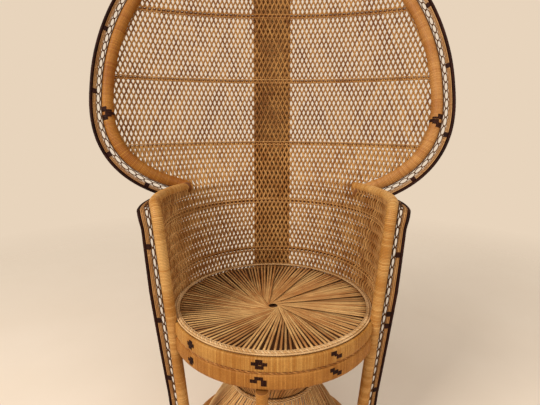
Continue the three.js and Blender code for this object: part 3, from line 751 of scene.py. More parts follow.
@dataclass(frozen=True)
class BackSurface:
    """The surface that the back is woven on: a leaning cone that opens into the hood."""

    arm_height: float = 0.700
    total_height: float = 1.500
    foot_radius: float = 0.2205
    shoulder_radius: float = 0.273
    hood_radius: float = 0.950
    lean: float = 6.8
    post_angle: float = 66.0
    bend_height: float = 0.046
    bend_angle: float = 9.379
    widest_height: float = 0.973
    rim_half_width: float = 0.437
    rim_top: float = 1.4538
    landing_stretch_share: float = 1.0897
    landing_power: float = 2.63
    border_radius: float = 0.700
    sag_power: int = 3

    @property
    def landing_drop(self) -> float:
        """How far the lower oval of the rim would reach down."""
        return (self.widest_height - self.arm_height) * self.landing_stretch_share

    def wall_radius(self, height: Array) -> Array:
        """Returns the radius of the leaning wall round the seat at each height."""
        slope = (self.shoulder_radius - self.foot_radius) / self.arm_height
        return self.foot_radius + slope * np.minimum(height, self.arm_height)

    def plan_radius(self, height: Array) -> Array:
        """Returns the radius of the sheet seen from above at each height."""
        share = np.clip((height - self.arm_height) / (self.total_height - self.arm_height), 0, None)
        return self.wall_radius(height) + (self.hood_radius - self.shoulder_radius) * np.sqrt(share)

    def depth(self, height: Array) -> Array:
        """Returns how far behind the axis the middle of the sheet is at each height."""
        lean = math.tan(math.radians(self.lean))
        return self.wall_radius(height) + lean * np.maximum(height - self.arm_height, 0)

    def place(self, along: Array, height: Array) -> Array:
        """Finds places on the sheet.

        Args:
            along: How far each is from the middle, along the sheet.
            height: How high each is.

        Returns:
            The points.
        """
        radius = self.plan_radius(height)
        turn = along / radius
        y = self.depth(height) - radius * (1 - np.cos(turn))
        return np.stack(np.broadcast_arrays(radius * np.sin(turn), y, height), -1)

    def normal(self, along: Array, height: Array) -> Array:
        """Finds the direction out of the sheet's front.

        Args:
            along: How far each place is from the middle, along the sheet.
            height: How high each is.

        Returns:
            One direction for each place.
        """
        turn = along / self.plan_radius(height)
        sideways = np.stack([np.cos(turn), -np.sin(turn), np.zeros_like(turn)], -1)
        rise = self.place(along, height + MM) - self.place(along, height - MM)
        return unit(np.cross(sideways, rise))

    def rim_half(self, height: Array) -> Array:
        """Finds half the hood's width between the middles of its rim.

        Args:
            height: The heights at which to look.

        Returns:
            Half the width at each height.
        """
        rise = np.clip((height - self.widest_height) / (self.rim_top - self.widest_height), 0, 1)
        drop = np.clip((self.widest_height - height) / self.landing_drop, 0, 1)
        lower = (1 - drop ** self.landing_power) ** (1 / self.landing_power)
        upper = np.sqrt(1 - rise ** 2)
        return self.rim_half_width * np.where(height >= self.widest_height, upper, lower)

    def reach(self, height: Array) -> Array:
        """Finds how far the sheet reaches to each side.

        Args:
            height: The heights at which to look.

        Returns:
            The reach along the surface at each height.
        """
        radius = self.plan_radius(height)
        bend = np.clip((height - self.arm_height + self.bend_height) / self.bend_height, 0, 1)
        turned = self.bend_angle * (1 - np.sqrt(1 - bend)) ** 2
        wall = radius * np.radians(180 - self.post_angle - turned)
        hood = radius * np.arcsin(np.clip(self.rim_half(height) / radius, 0, 1))
        return np.where(height < self.arm_height, wall, hood)

    def rim_path(self, sag: float = 0.0) -> Path:
        """Makes the middle of the rim pole, from the hood's top down to the right arm.

        Args:
            sag: How much lower the pole lands than its oval.

        Returns:
            The path, whose front looks out of the border.
        """
        upper = np.linspace(0, math.pi / 2, RIM_PLACES)
        landing = (self.widest_height - self.arm_height) / self.landing_drop
        power = 2 / self.landing_power
        last = math.asin(landing ** (1 / power))
        lower = np.linspace(0, last, RIM_PLACES)[1:]
        x = self.rim_half_width * np.concatenate([np.sin(upper), np.cos(lower) ** power])
        rise = (self.rim_top - self.widest_height) * np.cos(upper)
        height = self.widest_height + np.concatenate(
            [rise, -self.landing_drop * np.sin(lower) ** power]
        )
        radius = self.plan_radius(height)
        y = self.depth(height) - radius + np.sqrt(radius ** 2 - x ** 2)
        turn = np.arcsin(x / self.border_radius)
        facing = np.stack([-np.sin(turn), -np.cos(turn), np.zeros_like(turn)], -1)
        fall = (self.widest_height - height) / (self.widest_height - self.arm_height)
        height = height - sag * np.clip(fall, 0, 1) ** self.sag_power
        return Path.along(np.stack([x, y, height], -1), facing).evenly(POLE_STEP)


BACK = BackSurface()


@dataclass(frozen=True)
class Inlay:
    """A block of dark turns let into a wound pole or band.

    Attributes:
        start: Where it starts along the pole, in millimetres from the motif's middle.
        end: Where it ends.
        low: Its lower or inner edge across the pole, in millimetres from the pole's middle.
        high: Its upper or outer edge.
    """

    start: float
    end: float
    low: float
    high: float

    def add_to(
        self, mesh: StrandMesh, path: Path, middle: float, width: float, depth: float, power: float
    ) -> None:
        """Lays the block's turns on the front of a pole.

        Args:
            mesh: The mesh that gets the turns.
            path: The middle of the pole.
            middle: The distance of the motif's middle along the path.
            width: The pole's width across.
            depth: The pole's depth through.
            power: The power of the pole's oval.
        """
        pitch, thickness, lift = 2.9 * MM, 1.0 * MM, 0.15 * MM
        cover, outermost, places = 0.98, 0.995, 9
        count = max(1, round((self.end - self.start) * MM / pitch))
        strip = Section.oval(pitch * cover, thickness, power=FLAT_POWER)
        across = np.linspace(self.low, self.high, places) * MM
        share = np.clip(np.abs(2 * across / width), 0, outermost)
        rise = depth / 2 * (1 - share ** power) ** (1 / power) + lift
        for turn in range(count):
            distance = middle + self.start * MM + (turn + 0.5) * pitch
            here = path.at(np.array([distance]))
            points = here.points + here.across * across[:, None] + here.through * rise[:, None]
            slope = np.gradient(rise, across)
            normals = here.through - here.across * slope[:, None]
            mesh.sweep(Path.along(points, normals), strip, edge_shade=0.3)


def ring(radius: float, height: float, start: float = -180.0, end: float = 180.0) -> Path:
    """Makes a circle or an arc round the axis, whose front looks outwards.

    Args:
        radius: Its radius.
        height: Its height above the floor.
        start: The angle in degrees at which it starts.
        end: The angle at which it ends.

    Returns:
        The path, closed where it goes all the way round. Across is upwards on it.
    """
    closed = end - start >= FULL_TURN
    count = max(8, round(end - start))
    angles = np.linspace(start, end, count + 1)
    angles = angles[:-1] if closed else angles
    return Path.along(around(radius, angles, height), around(1.0, angles, 0.0), closed)


@dataclass
class Hood(SubAssembly):
    """The rim pole of the hood, its dark motif and the border outside it."""

    rim_width: float = 30.5 * MM
    rim_depth: float = 25 * MM
    loop_width: float = 15.5 * MM
    sag_right: float = 16 * MM
    border_end: float = 62 * MM
    rim_sides: int = 18
    motif_right: float = 0.857
    motif_left: float = 0.839
    motif: tuple[Inlay, ...] = (
        Inlay(-17.5, -9.8, 7.5, 16.5), Inlay(-9.8, -3.5, -5.5, 15), Inlay(-3.5, 4.2, -15, 11),
        Inlay(4.2, 8.8, -4, 16), Inlay(8.8, 16.8, 6, 15),
    )
    blocks_right: tuple[float, ...] = (0.480, 0.632, 0.788, 0.905)
    blocks_left: tuple[float, ...] = (0.549, 0.697, 0.840, 0.945)

    def build(self) -> list[Piece]:
        """Makes both sides of the hood.

        Returns:
            The wound rim, its dark motif and the border of each side.
        """
        pieces = []
        border = Border(self.rim_width / 2, loop_width=self.loop_width)
        section = Section.oval(self.rim_width, self.rim_depth, self.rim_sides)
        for side, blocks, motif_at, finish, seed in (
            # The right rim takes the paler painted-light copy of the wrapped cane.
            (Side.RIGHT, self.blocks_right, self.motif_right, Finish.TAN, 10),
            (Side.LEFT, self.blocks_left, self.motif_left, Finish.WRAP, 20),
        ):
            word = side.name.lower()
            rim = BACK.rim_path(self.sag_right if side is Side.RIGHT else 0.0)
            wound = StrandMesh(seed)
            wound.wind(rim, section)
            pieces.append(Piece(f"rim_winding_{word}", wound, finish, (f"hood_rim_{word}",), side))
            motif = StrandMesh(seed + 1)
            for inlay in self.motif:
                inlay.add_to(motif, rim, motif_at, self.rim_width, self.rim_depth, 2.0)
            pieces.append(Piece(f"rim_motif_{word}", motif, Finish.DARK, (), side))
            outer = rim.between(0.0, rim.length - self.border_end)
            pieces += border.build("hood", outer, side, seed + 2, blocks)
        return pieces


@dataclass
class Border:
    """A border beside a pole: a chain of cane loops, a brown reed and a dark wound edge.

    Attributes:
        pole_half: Half the width of the pole that it runs along.
    """

    pole_half: float
    gap: float = 0.3 * MM
    loop_width: float = 14 * MM
    strip_width: float = 7 * MM
    edge_width: float = 7 * MM
    edge_depth: float = 8 * MM
    strip_depth: float = 5 * MM
    loop_pitch: float = 24 * MM
    loop_strand: float = 2.6 * MM
    loop_aspect: float = 1.2
    loop_power: float = 0.45
    shadow_reed: float = 2.8 * MM
    brown_reed: float = 2.2 * MM
    chain_overlap: float = 0.8 * MM
    chain_depth: float = 0.9 * MM
    steps_per_loop: int = 12
    knot_width: float = 7.5 * MM
    knot_depth: float = 3.4 * MM
    knot_length: float = 3 * MM
    shadow_depth: float = 3 * MM
    brown_depth: float = 3.6 * MM
    reed_power: float = 2.6
    reed_step: float = 5 * MM
    shadow_step: float = 6 * MM
    reed_share: float = 0.49
    reed_rise: float = 0.75
    block_length: float = 12.5 * MM
    block_growth: float = 4 * MM
    block_swell: float = 1.6 * MM
    block_shift: float = 1.6 * MM
    loops_per_tie: int = 4
    tie_length: float = 4 * MM
    tie_pitch: float = 2 * MM
    tie_cover: float = 0.3 * MM
    tie_rise: float = 0.92
    edge_pitch: float = 3.2 * MM
    edge_groove: float = 0.4 * MM
    thin_share: float = 0.34
    thin_rise: float = 0.6
    cord_shift: float = 0.6 * MM

    def build(
        self, name: str, pole: Path, side: Side, seed: int, blocks: tuple[float, ...]
    ) -> list[Piece]:
        """Makes the border of one side.

        Args:
            name: What the border belongs to.
            pole: The middle of the pole that it runs along.
            side: The side that it is on.
            seed: The seed of its uneven places.
            blocks: Where the middles of its dark blocks are, as shares of its length.

        Returns:
            The loops, the brown strip, the dark edge and the dark blocks.
        """
        word = side.name.lower()
        low = self.pole_half + 2 * self.gap
        strip_at = low + self.loop_width + self.gap + self.strip_width / 2
        edge_at = strip_at + self.strip_width / 2 + self.gap + self.edge_width / 2
        loops = StrandMesh(seed)
        self._add_loops(loops, pole, low)
        strip = StrandMesh(seed + 1)
        middle = pole.shifted(strip_at).evenly(self.reed_step)
        self._add_strip(strip, middle)
        edge = StrandMesh(seed + 2)
        self._add_edge(edge, pole.shifted(edge_at))
        dark = StrandMesh(seed + 3)
        cover = Section.oval(
            self.strip_width + self.block_growth, self.strip_depth + self.block_swell, 12, 4.0
        )
        covered = middle.shifted(-self.block_shift)
        for share in blocks:
            start = share * middle.length - self.block_length / 2
            dark.wind(covered.between(start, start + self.block_length), cover)
        return [
            Piece(f"{name}_{made}_{word}", mesh, finish, nodes, side)
            for made, mesh, finish, nodes in (
                ("loop_chain", loops, Finish.STRIP, (f"{name}_loops_{word}",)),
                ("brown_reeds", strip, Finish.STRIP, (f"{name}_light_strip_{word}",)),
                ("dark_winding", edge, Finish.DARK, (f"{name}_dark_edge_{word}",)),
                ("dark_blocks", dark, Finish.DARK, ()),
            )
        ]

    def _add_loops(self, mesh: StrandMesh, pole: Path, low: float) -> None:
        """Adds two strands that cross in a chain of openings, and the reeds beside them.

        Args:
            mesh: The mesh that gets the chain.
            pole: The middle of the pole that the border runs along.
            low: How far from the pole's middle the border starts.
        """
        room = self.loop_width - self.shadow_reed - self.brown_reed
        middle = pole.shifted(low + self.shadow_reed + room / 2)
        swing = (room - self.loop_strand) / 2 + self.chain_overlap
        count = round(middle.length / self.loop_pitch)
        fine = middle.evenly(middle.length / count / self.steps_per_loop)
        turn = fine.distance / middle.length * count * math.pi
        bow = np.sin(turn)
        lens = np.sign(bow) * np.abs(bow) ** self.loop_power
        strand = Section.oval(self.loop_strand, self.loop_strand * self.loop_aspect, STRAND_SIDES)
        # Painted shade: the crossing strands and the knots are darkened towards the shade colour.
        for way in (1, -1):
            route = fine.shifted(way * swing * lens, way * self.chain_depth * np.cos(turn))
            mesh.sweep(route, strand, tone=0.1, edge_shade=0.4, shade=0.85)
        knot = Section.oval(self.knot_width, self.knot_depth)
        half = self.knot_length / 2
        for at in range(1, count):
            place = at * middle.length / count
            mesh.sweep(middle.between(place - half, place + half), knot, tone=0.0, shade=0.9)
        # A thin reed in the gap beside the pole, coloured with full painted shade for the shadow in
        # that gap.
        inner = pole.shifted(low + self.shadow_reed / 2 - self.chain_overlap)
        shadow = Section.oval(self.shadow_reed, self.shadow_depth, STRAND_SIDES)
        mesh.sweep(inner.evenly(self.shadow_step), shadow, tone=0.0, shade=1.0)
        outer = pole.shifted(low + self.loop_width - self.brown_reed / 2)
        brown = Section.oval(self.brown_reed, self.brown_depth, power=self.reed_power)
        mesh.sweep(outer.evenly(self.reed_step), brown, edge_shade=0.9)

    def _add_strip(self, mesh: StrandMesh, middle: Path) -> None:
        """Adds two reeds side by side, and the ties that hold them.

        Args:
            mesh: The mesh that gets them.
            middle: The line between the reeds.
        """
        width, depth = self.strip_width * self.reed_share, self.strip_depth * self.reed_rise
        reed = Section.oval(width, depth, power=self.reed_power)
        for way in (1, -1):
            mesh.sweep(middle.shifted(way * self.strip_width / 4), reed, edge_shade=0.9)
        tie_width = self.strip_width + self.tie_cover
        tie = Section.oval(tie_width, self.strip_depth * self.tie_rise, 10, FLAT_POWER)
        pitch = self.loop_pitch * self.loops_per_tie
        for at in range(1, int(middle.length / pitch)):
            start = at * pitch
            stretch = middle.between(start, start + self.tie_length)
            mesh.wind(stretch, tie, Winding(pitch=self.tie_pitch))

    def _add_edge(self, mesh: StrandMesh, middle: Path) -> None:
        """Adds the wound dark edge: one thick cord and a thin one inside it.

        Args:
            mesh: The mesh that gets them.
            middle: The middle of the edge.
        """
        winding = Winding(pitch=self.edge_pitch, groove=self.edge_groove)
        cord = middle.shifted(self.cord_shift)
        mesh.wind(cord, Section.oval(self.edge_width, self.edge_depth, 10), winding)
        inner = middle.shifted(-self.edge_width / 2)
        thin = Section.oval(self.edge_width * self.thin_share, self.edge_depth * self.thin_rise)
        mesh.wind(inner, thin, winding)


@dataclass
class Arms(SubAssembly):
    """The two wound poles that rise as posts and run back as arms, with their borders."""

    foot_radius: float = 0.2285
    arm_radius: float = 0.281
    bend: float = 46 * MM
    arm_end_angle: float = 123.8
    foot_height: float = 14 * MM
    post_diameter: float = 28 * MM
    arm_diameter: float = 24 * MM
    wing_tilts: tuple[float, ...] = (48.0, 27.0, 37.0, 25.0)
    wing_heights: tuple[float, ...] = (0.22, 0.5, 0.65, 0.7)
    border_tuck: float = 1 * MM
    border_clearance: float = 20 * MM
    wing_reach: float = 30 * MM
    hood_reach: float = 36 * MM
    post_sides: int = 16
    places: tuple[int, int, int] = (220, 40, 120)
    blocks_right: tuple[float, ...] = (0.240, 0.441, 0.476, 0.639, 0.824)
    blocks_left: tuple[float, ...] = (0.282, 0.460, 0.661)

    def build(self) -> list[Piece]:
        """Makes both arms.

        Returns:
            The wound poles and the wing borders of both sides.
        """
        pieces = []
        pole = self.pole_path()
        fine = pole.evenly(POLE_STEP)
        section = Section.oval(self.post_diameter, self.post_diameter, self.post_sides)
        for side, blocks in ((Side.RIGHT, self.blocks_right), (Side.LEFT, self.blocks_left)):
            word = side.name.lower()
            seed = 40 if side is Side.RIGHT else 50
            wound = StrandMesh(seed)
            wound.wind(fine, section)
            self._taper(wound)
            pieces.append(
                Piece(f"arm_winding_{word}", wound, Finish.HONEY, (f"arm_post_{word}",), side)
            )
            wing = self._free_stretch(fine)
            border = Border(self.post_diameter / 2 - self.border_tuck)
            pieces += border.build("wing", wing, side, seed + 2, blocks)
        return pieces

    def pole_path(self) -> Path:
        """Runs a line up the right post, round the bend and back along the arm.

        Returns:
            The middle of the right pole, whose side looks to its border.
        """
        post_places, bend_places, arm_places = self.places
        lean = (self.arm_radius - self.foot_radius) / BACK.arm_height
        start_z = BACK.arm_height - self.bend
        heights = np.linspace(self.foot_height, start_z, post_places)
        post = around(self.foot_radius + lean * heights, BACK.post_angle, heights)
        reach = math.degrees(self.bend / self.arm_radius)
        first = around(self.foot_radius + lean * start_z, BACK.post_angle, start_z)
        corner = around(self.arm_radius, BACK.post_angle, BACK.arm_height)
        last = around(self.arm_radius, BACK.post_angle + reach, BACK.arm_height)
        t = np.linspace(0, 1, bend_places)[1:, None]
        curve = (1 - t) ** 2 * first + 2 * t * (1 - t) * corner + t ** 2 * last
        angles = np.linspace(BACK.post_angle + reach, self.arm_end_angle, arm_places)[1:]
        arm = around(self.arm_radius, angles, BACK.arm_height)
        points = np.concatenate([post, curve, arm])
        tangent = unit(np.gradient(points, axis=0))
        outwards = unit(points * [1, 1, 0])
        outwards = unit(outwards - (outwards * tangent).sum(1, keepdims=True) * tangent)
        inwards = np.cross(tangent, outwards)
        tilt = np.radians(np.interp(points[:, 2:], self.wing_heights, self.wing_tilts))
        reach_way = outwards * np.cos(tilt) + inwards * np.sin(tilt)
        return Path.along(points, np.cross(tangent, reach_way))

    def _taper(self, mesh: StrandMesh) -> None:
        """Thins the pole from the foot to the arm, ring by ring.

        Args:
            mesh: The mesh whose last body is the pole.
        """
        rings = mesh.vertices[-1].reshape(-1, self.post_sides, 3)
        middles = rings.mean(1, keepdims=True)
        share = np.clip(middles[..., 2:] / BACK.arm_height, 0, 1)
        size = 1 + (self.arm_diameter / self.post_diameter - 1) * share
        mesh.vertices[-1] = (middles + (rings - middles) * size).reshape(-1, 3)

    def _free_stretch(self, pole: Path) -> Path:
        """Finds the stretch that has room for a border.

        Args:
            pole: The middle of the right pole.

        Returns:
            The pole up to where its border would meet the hood's border.
        """
        wing = pole.shifted(self.wing_reach).points
        hood = BACK.rim_path().shifted(self.hood_reach).points[::3]
        gaps = np.linalg.norm(wing[:, None] - hood[None], axis=2).min(1)
        near = np.nonzero(gaps < self.border_clearance)[0]
        last = near[0] if len(near) else len(wing) - 1
        return pole.between(0.0, float(pole.distance[last]))


def runs(inside: Array) -> list[tuple[int, int]]:
    """Returns the stretches of true values that are three or more long."""
    edges = np.flatnonzero(np.diff(np.concatenate([[0], inside.astype(int), [0]])))
    return [(a, b) for a, b in zip(edges[::2], edges[1::2]) if b - a >= 3]


@dataclass
class WovenBack(SubAssembly):
    """The net of woven strands from the seat to the hood's rim, and the rows twined across it."""

    pitch: float = 13.0 * MM
    slope_share: float = 0.46
    strand_width: float = 5.2 * MM
    strand_depth: float = 2.8 * MM
    wall_strand_width: float = 6.2 * MM
    wall_strand_depth: float = 4.4 * MM
    lens_share: float = 0.25
    foot: float = 0.3862
    partings: tuple[float, ...] = (0.8126, 0.998, 1.1880)
    top: float = 1.4538
    rim_cover: float = 4 * MM
    twine_spacing: float = 9.6 * MM
    twine_diameter: float = 2.0 * MM
    twine_lay: float = 9 * MM
    twine_across: float = 0.7 * MM
    twine_through: float = 2.2 * MM
    rib_width: float = 6.6 * MM
    rib_depth: float = 1.6 * MM
    rib_drop: float = 2.6 * MM
    wall_rows: tuple[float, ...] = (0.482, 0.6345)
    wall_row_lift: float = 2.6 * MM
    steps_per_crossing: int = 3
    row_places: int = 400

    def build(self) -> list[Piece]:
        """Makes the back.

        Returns:
            The four panels and the five twined bands.
        """
        names = ("wall", "lower_hood", "middle_hood", "upper_hood")
        levels = (self.foot, *self.partings, self.top)
        pieces = []
        for at, name in enumerate(names):
            panel = StrandMesh(60 + at)
            strand, finish = (self.strand_width, self.strand_depth), Finish.WEAVE
            if name == "wall":
                strand, finish = (self.wall_strand_width, self.wall_strand_depth), Finish.WALL
            self._add_net(panel, levels[at], levels[at + 1], strand)
            pieces.append(Piece(f"net_{name}", panel, finish, (f"woven_panel_{name}",)))
        rows = [
            *((name, level, 0.0) for name, level in zip(names[1:], self.partings)),
            ("seat", self.wall_rows[0], self.wall_row_lift),
            ("arm", self.wall_rows[1], self.wall_row_lift),
        ]
        for at, (name, level, forward) in enumerate(rows):
            band = StrandMesh(70 + at)
            for way in (1, -1):
                self._add_twined_row(band, level + way * self.twine_spacing / 2, forward)
            self._add_rib(band, level)
            node = f"twined_band_{name}"
            pieces.append(Piece(f"twined_rows_{name}", band, Finish.TWINE, (node,)))
        return pieces

    def _add_net(
        self, mesh: StrandMesh, low: float, high: float, strand: tuple[float, float]
    ) -> None:
        """Weaves the strands of both families between two heights.

        Args:
            mesh: The mesh that gets the strands.
            low: The height at which they start.
            high: The height at which they end.
            strand: How wide and how deep a strand is.
        """
        crossing = self.pitch / (2 * self.slope_share)
        step = crossing / self.steps_per_crossing
        low_row, high_row = math.floor(low / step), math.ceil(high / step)
        heights = np.clip(np.arange(low_row, high_row + 1) * step, low, high)
        swing = self.lens_share * self.slope_share * crossing / (2 * math.pi)
        reach = BACK.reach(heights) - self.rim_cover
        section = Section.oval(*strand, STRAND_SIDES)
        most = int((reach.max() + self.slope_share * high) / self.pitch) + 2
        for way in (1, -1):
            phase = math.pi * heights / crossing
            lean = way * (self.slope_share * heights - swing * np.sin(2 * phase))
            depth = way * strand[1] / 2 * np.cos(phase)
            for number in range(-most, most + 1):
                along = number * self.pitch + lean
                inside = np.abs(along) < reach
                for start, end in runs(inside):
                    s, z = along[start:end], heights[start:end]
                    normal = BACK.normal(s, z)
                    points = BACK.place(s, z) + normal * depth[start:end, None]
                    # Painted shade darkens each strand's side edges.
                    mesh.sweep(Path.along(points, normal), section, edge_shade=0.75)

    def _row(self, height: float, forward: float) -> Path:
        """Draws a line across the net.

        Args:
            height: How high it runs.
            forward: How far in front of the net it runs, less than zero for behind.

        Returns:
            The line.
        """
        reach = float(BACK.reach(np.array([height]))[0]) - self.rim_cover
        along = np.linspace(-reach, reach, self.row_places)
        level = np.full_like(along, height)
        normal = BACK.normal(along, level)
        return Path.along(BACK.place(along, level) + normal * forward, normal)

    def _add_twined_row(self, mesh: StrandMesh, height: float, forward: float) -> None:
        """Twines two strands across the net.

        Args:
            mesh: The mesh that gets them.
            height: How high they run.
            forward: How far in front of the net they run.
        """
        mesh.twist(
            self._row(height, forward),
            self.twine_diameter,
            self.twine_lay,
            half_across=self.twine_across,
            half_through=self.twine_through,
        )

    def _add_rib(self, mesh: StrandMesh, height: float) -> None:
        """Lays the flat rib behind the net that a band's rows are twined to, coloured with full
        painted shade.
        """
        rib = Section.oval(self.rib_width, self.rib_depth, power=FLAT_POWER)
        mesh.sweep(self._row(height, -self.rib_drop), rib, tone=0.0, shade=1.0)


@dataclass
class Spine(SubAssembly):
    """The two poles behind the back and the open half tube woven between them."""

    half_width: float = 48 * MM
    pole_diameter: float = 16 * MM
    stand_off: float = 17 * MM
    bulge: float = 48 * MM
    top: float = 1.3978
    foot: float = 0.3345
    pole_foot: float = 20 * MM
    pitch: float = 7.2 * MM
    slope_share: float = 0.42
    strand_width: float = 7.4 * MM
    strand_depth: float = 1.8 * MM
    swing: float = 1.1 * MM
    pole_places: int = 180

    def build(self) -> list[Piece]:
        """Makes the spine.

        Returns:
            The two poles and the woven column.
        """
        heights = np.linspace(self.pole_foot, self.top, self.pole_places)
        path = Path.along(self._pole_places(heights), np.array([0.0, -1.0, 0.0]))
        pieces = []
        for side, seed in ((Side.RIGHT, 80), (Side.LEFT, 81)):
            pole = StrandMesh(seed)
            add_bare_pole(pole, path, self.pole_diameter)
            word = side.name.lower()
            node = f"spine_pole_{word}"
            pieces.append(Piece(f"spine_cane_{word}", pole, Finish.POLE, (node,), side))
        column = StrandMesh(seed=82)
        self._add_column(column)
        pieces.append(Piece("spine_net", column, Finish.COLUMN, ("spine_lattice",)))
        return pieces

    @property
    def half_arc(self) -> float:
        """How far the half tube reaches to each side, along its surface."""
        return math.pi / 4 * (self.half_width + self.bulge)

    def _pole_places(self, heights: Array) -> Array:
        """Finds the middle of the right pole.

        Args:
            heights: The heights at which to look.

        Returns:
            One point for each height.
        """
        aside = np.full_like(heights, self.half_width)
        behind = BACK.place(aside, heights)[:, 1] + self.stand_off
        return np.stack([aside, behind, heights], -1)

    def _on_column(self, along: Array, heights: Array) -> Array:
        """Finds places on the half tube.

        Args:
            along: How far each is from the tube's middle, round it.
            heights: How high each is.

        Returns:
            The points.
        """
        turn = along / self.half_arc * math.pi / 2
        base = self._pole_places(heights)
        return np.stack(
            [self.half_width * np.sin(turn), base[:, 1] + self.bulge * np.cos(turn), heights], -1
        )

    def _add_column(self, mesh: StrandMesh) -> None:
        """Weaves the half tube.

        Args:
            mesh: The mesh that gets the strands.
        """
        crossing = self.pitch / (2 * self.slope_share)
        heights = np.arange(self.foot, self.top, crossing / 2)
        section = Section.oval(self.strand_width, self.strand_depth, STRAND_SIDES)
        phase = math.pi * heights / crossing
        most = int((self.half_arc + self.slope_share * self.top) / self.pitch) + 2
        for way in (1, -1):
            for number in range(-most, most + 1):
                along = number * self.pitch + way * self.slope_share * heights
                inside = np.abs(along) < self.half_arc
                for start, end in runs(inside):
                    s, z = along[start:end], heights[start:end]
                    points = self._on_column(s, z)
                    centre = self._on_column(np.zeros_like(s), z) - [0, self.bulge, 0]
                    normal = unit((points - centre) * [1, 1, 0])
                    depth = way * self.swing * np.cos(phase[start:end])
                    points = points + normal * depth[:, None]
                    # Painted shade darkens the strands' side edges fully.
                    mesh.sweep(Path.along(points, normal), section, edge_shade=1.0)


def add_bare_pole(mesh: StrandMesh, path: Path, diameter: float) -> None:
    """Adds a peeled rattan pole with its leaf joints.

    Args:
        mesh: The mesh that gets the pole.
        path: The middle of the pole.
        diameter: The pole's diameter.
    """
    joint_pitch, first_joint = 0.21, 0.06
    joint_height, joint_reach, groove_reach = 0.9 * MM, 3 * MM, 1.6 * MM
    step, sides = 4 * MM, 14
    fine = path.evenly(step)
    distance = fine.distance[:len(fine.points)]
    away = np.abs((distance + first_joint) % joint_pitch - joint_pitch / 2)
    swell = joint_height * np.exp(-(away / joint_reach) ** 2)
    shade = 0.5 * np.exp(-(away / groove_reach) ** 2)
    section = Section.oval(diameter, diameter, sides)
    mesh.sweep(fine, section, swell=swell, shade=shade)


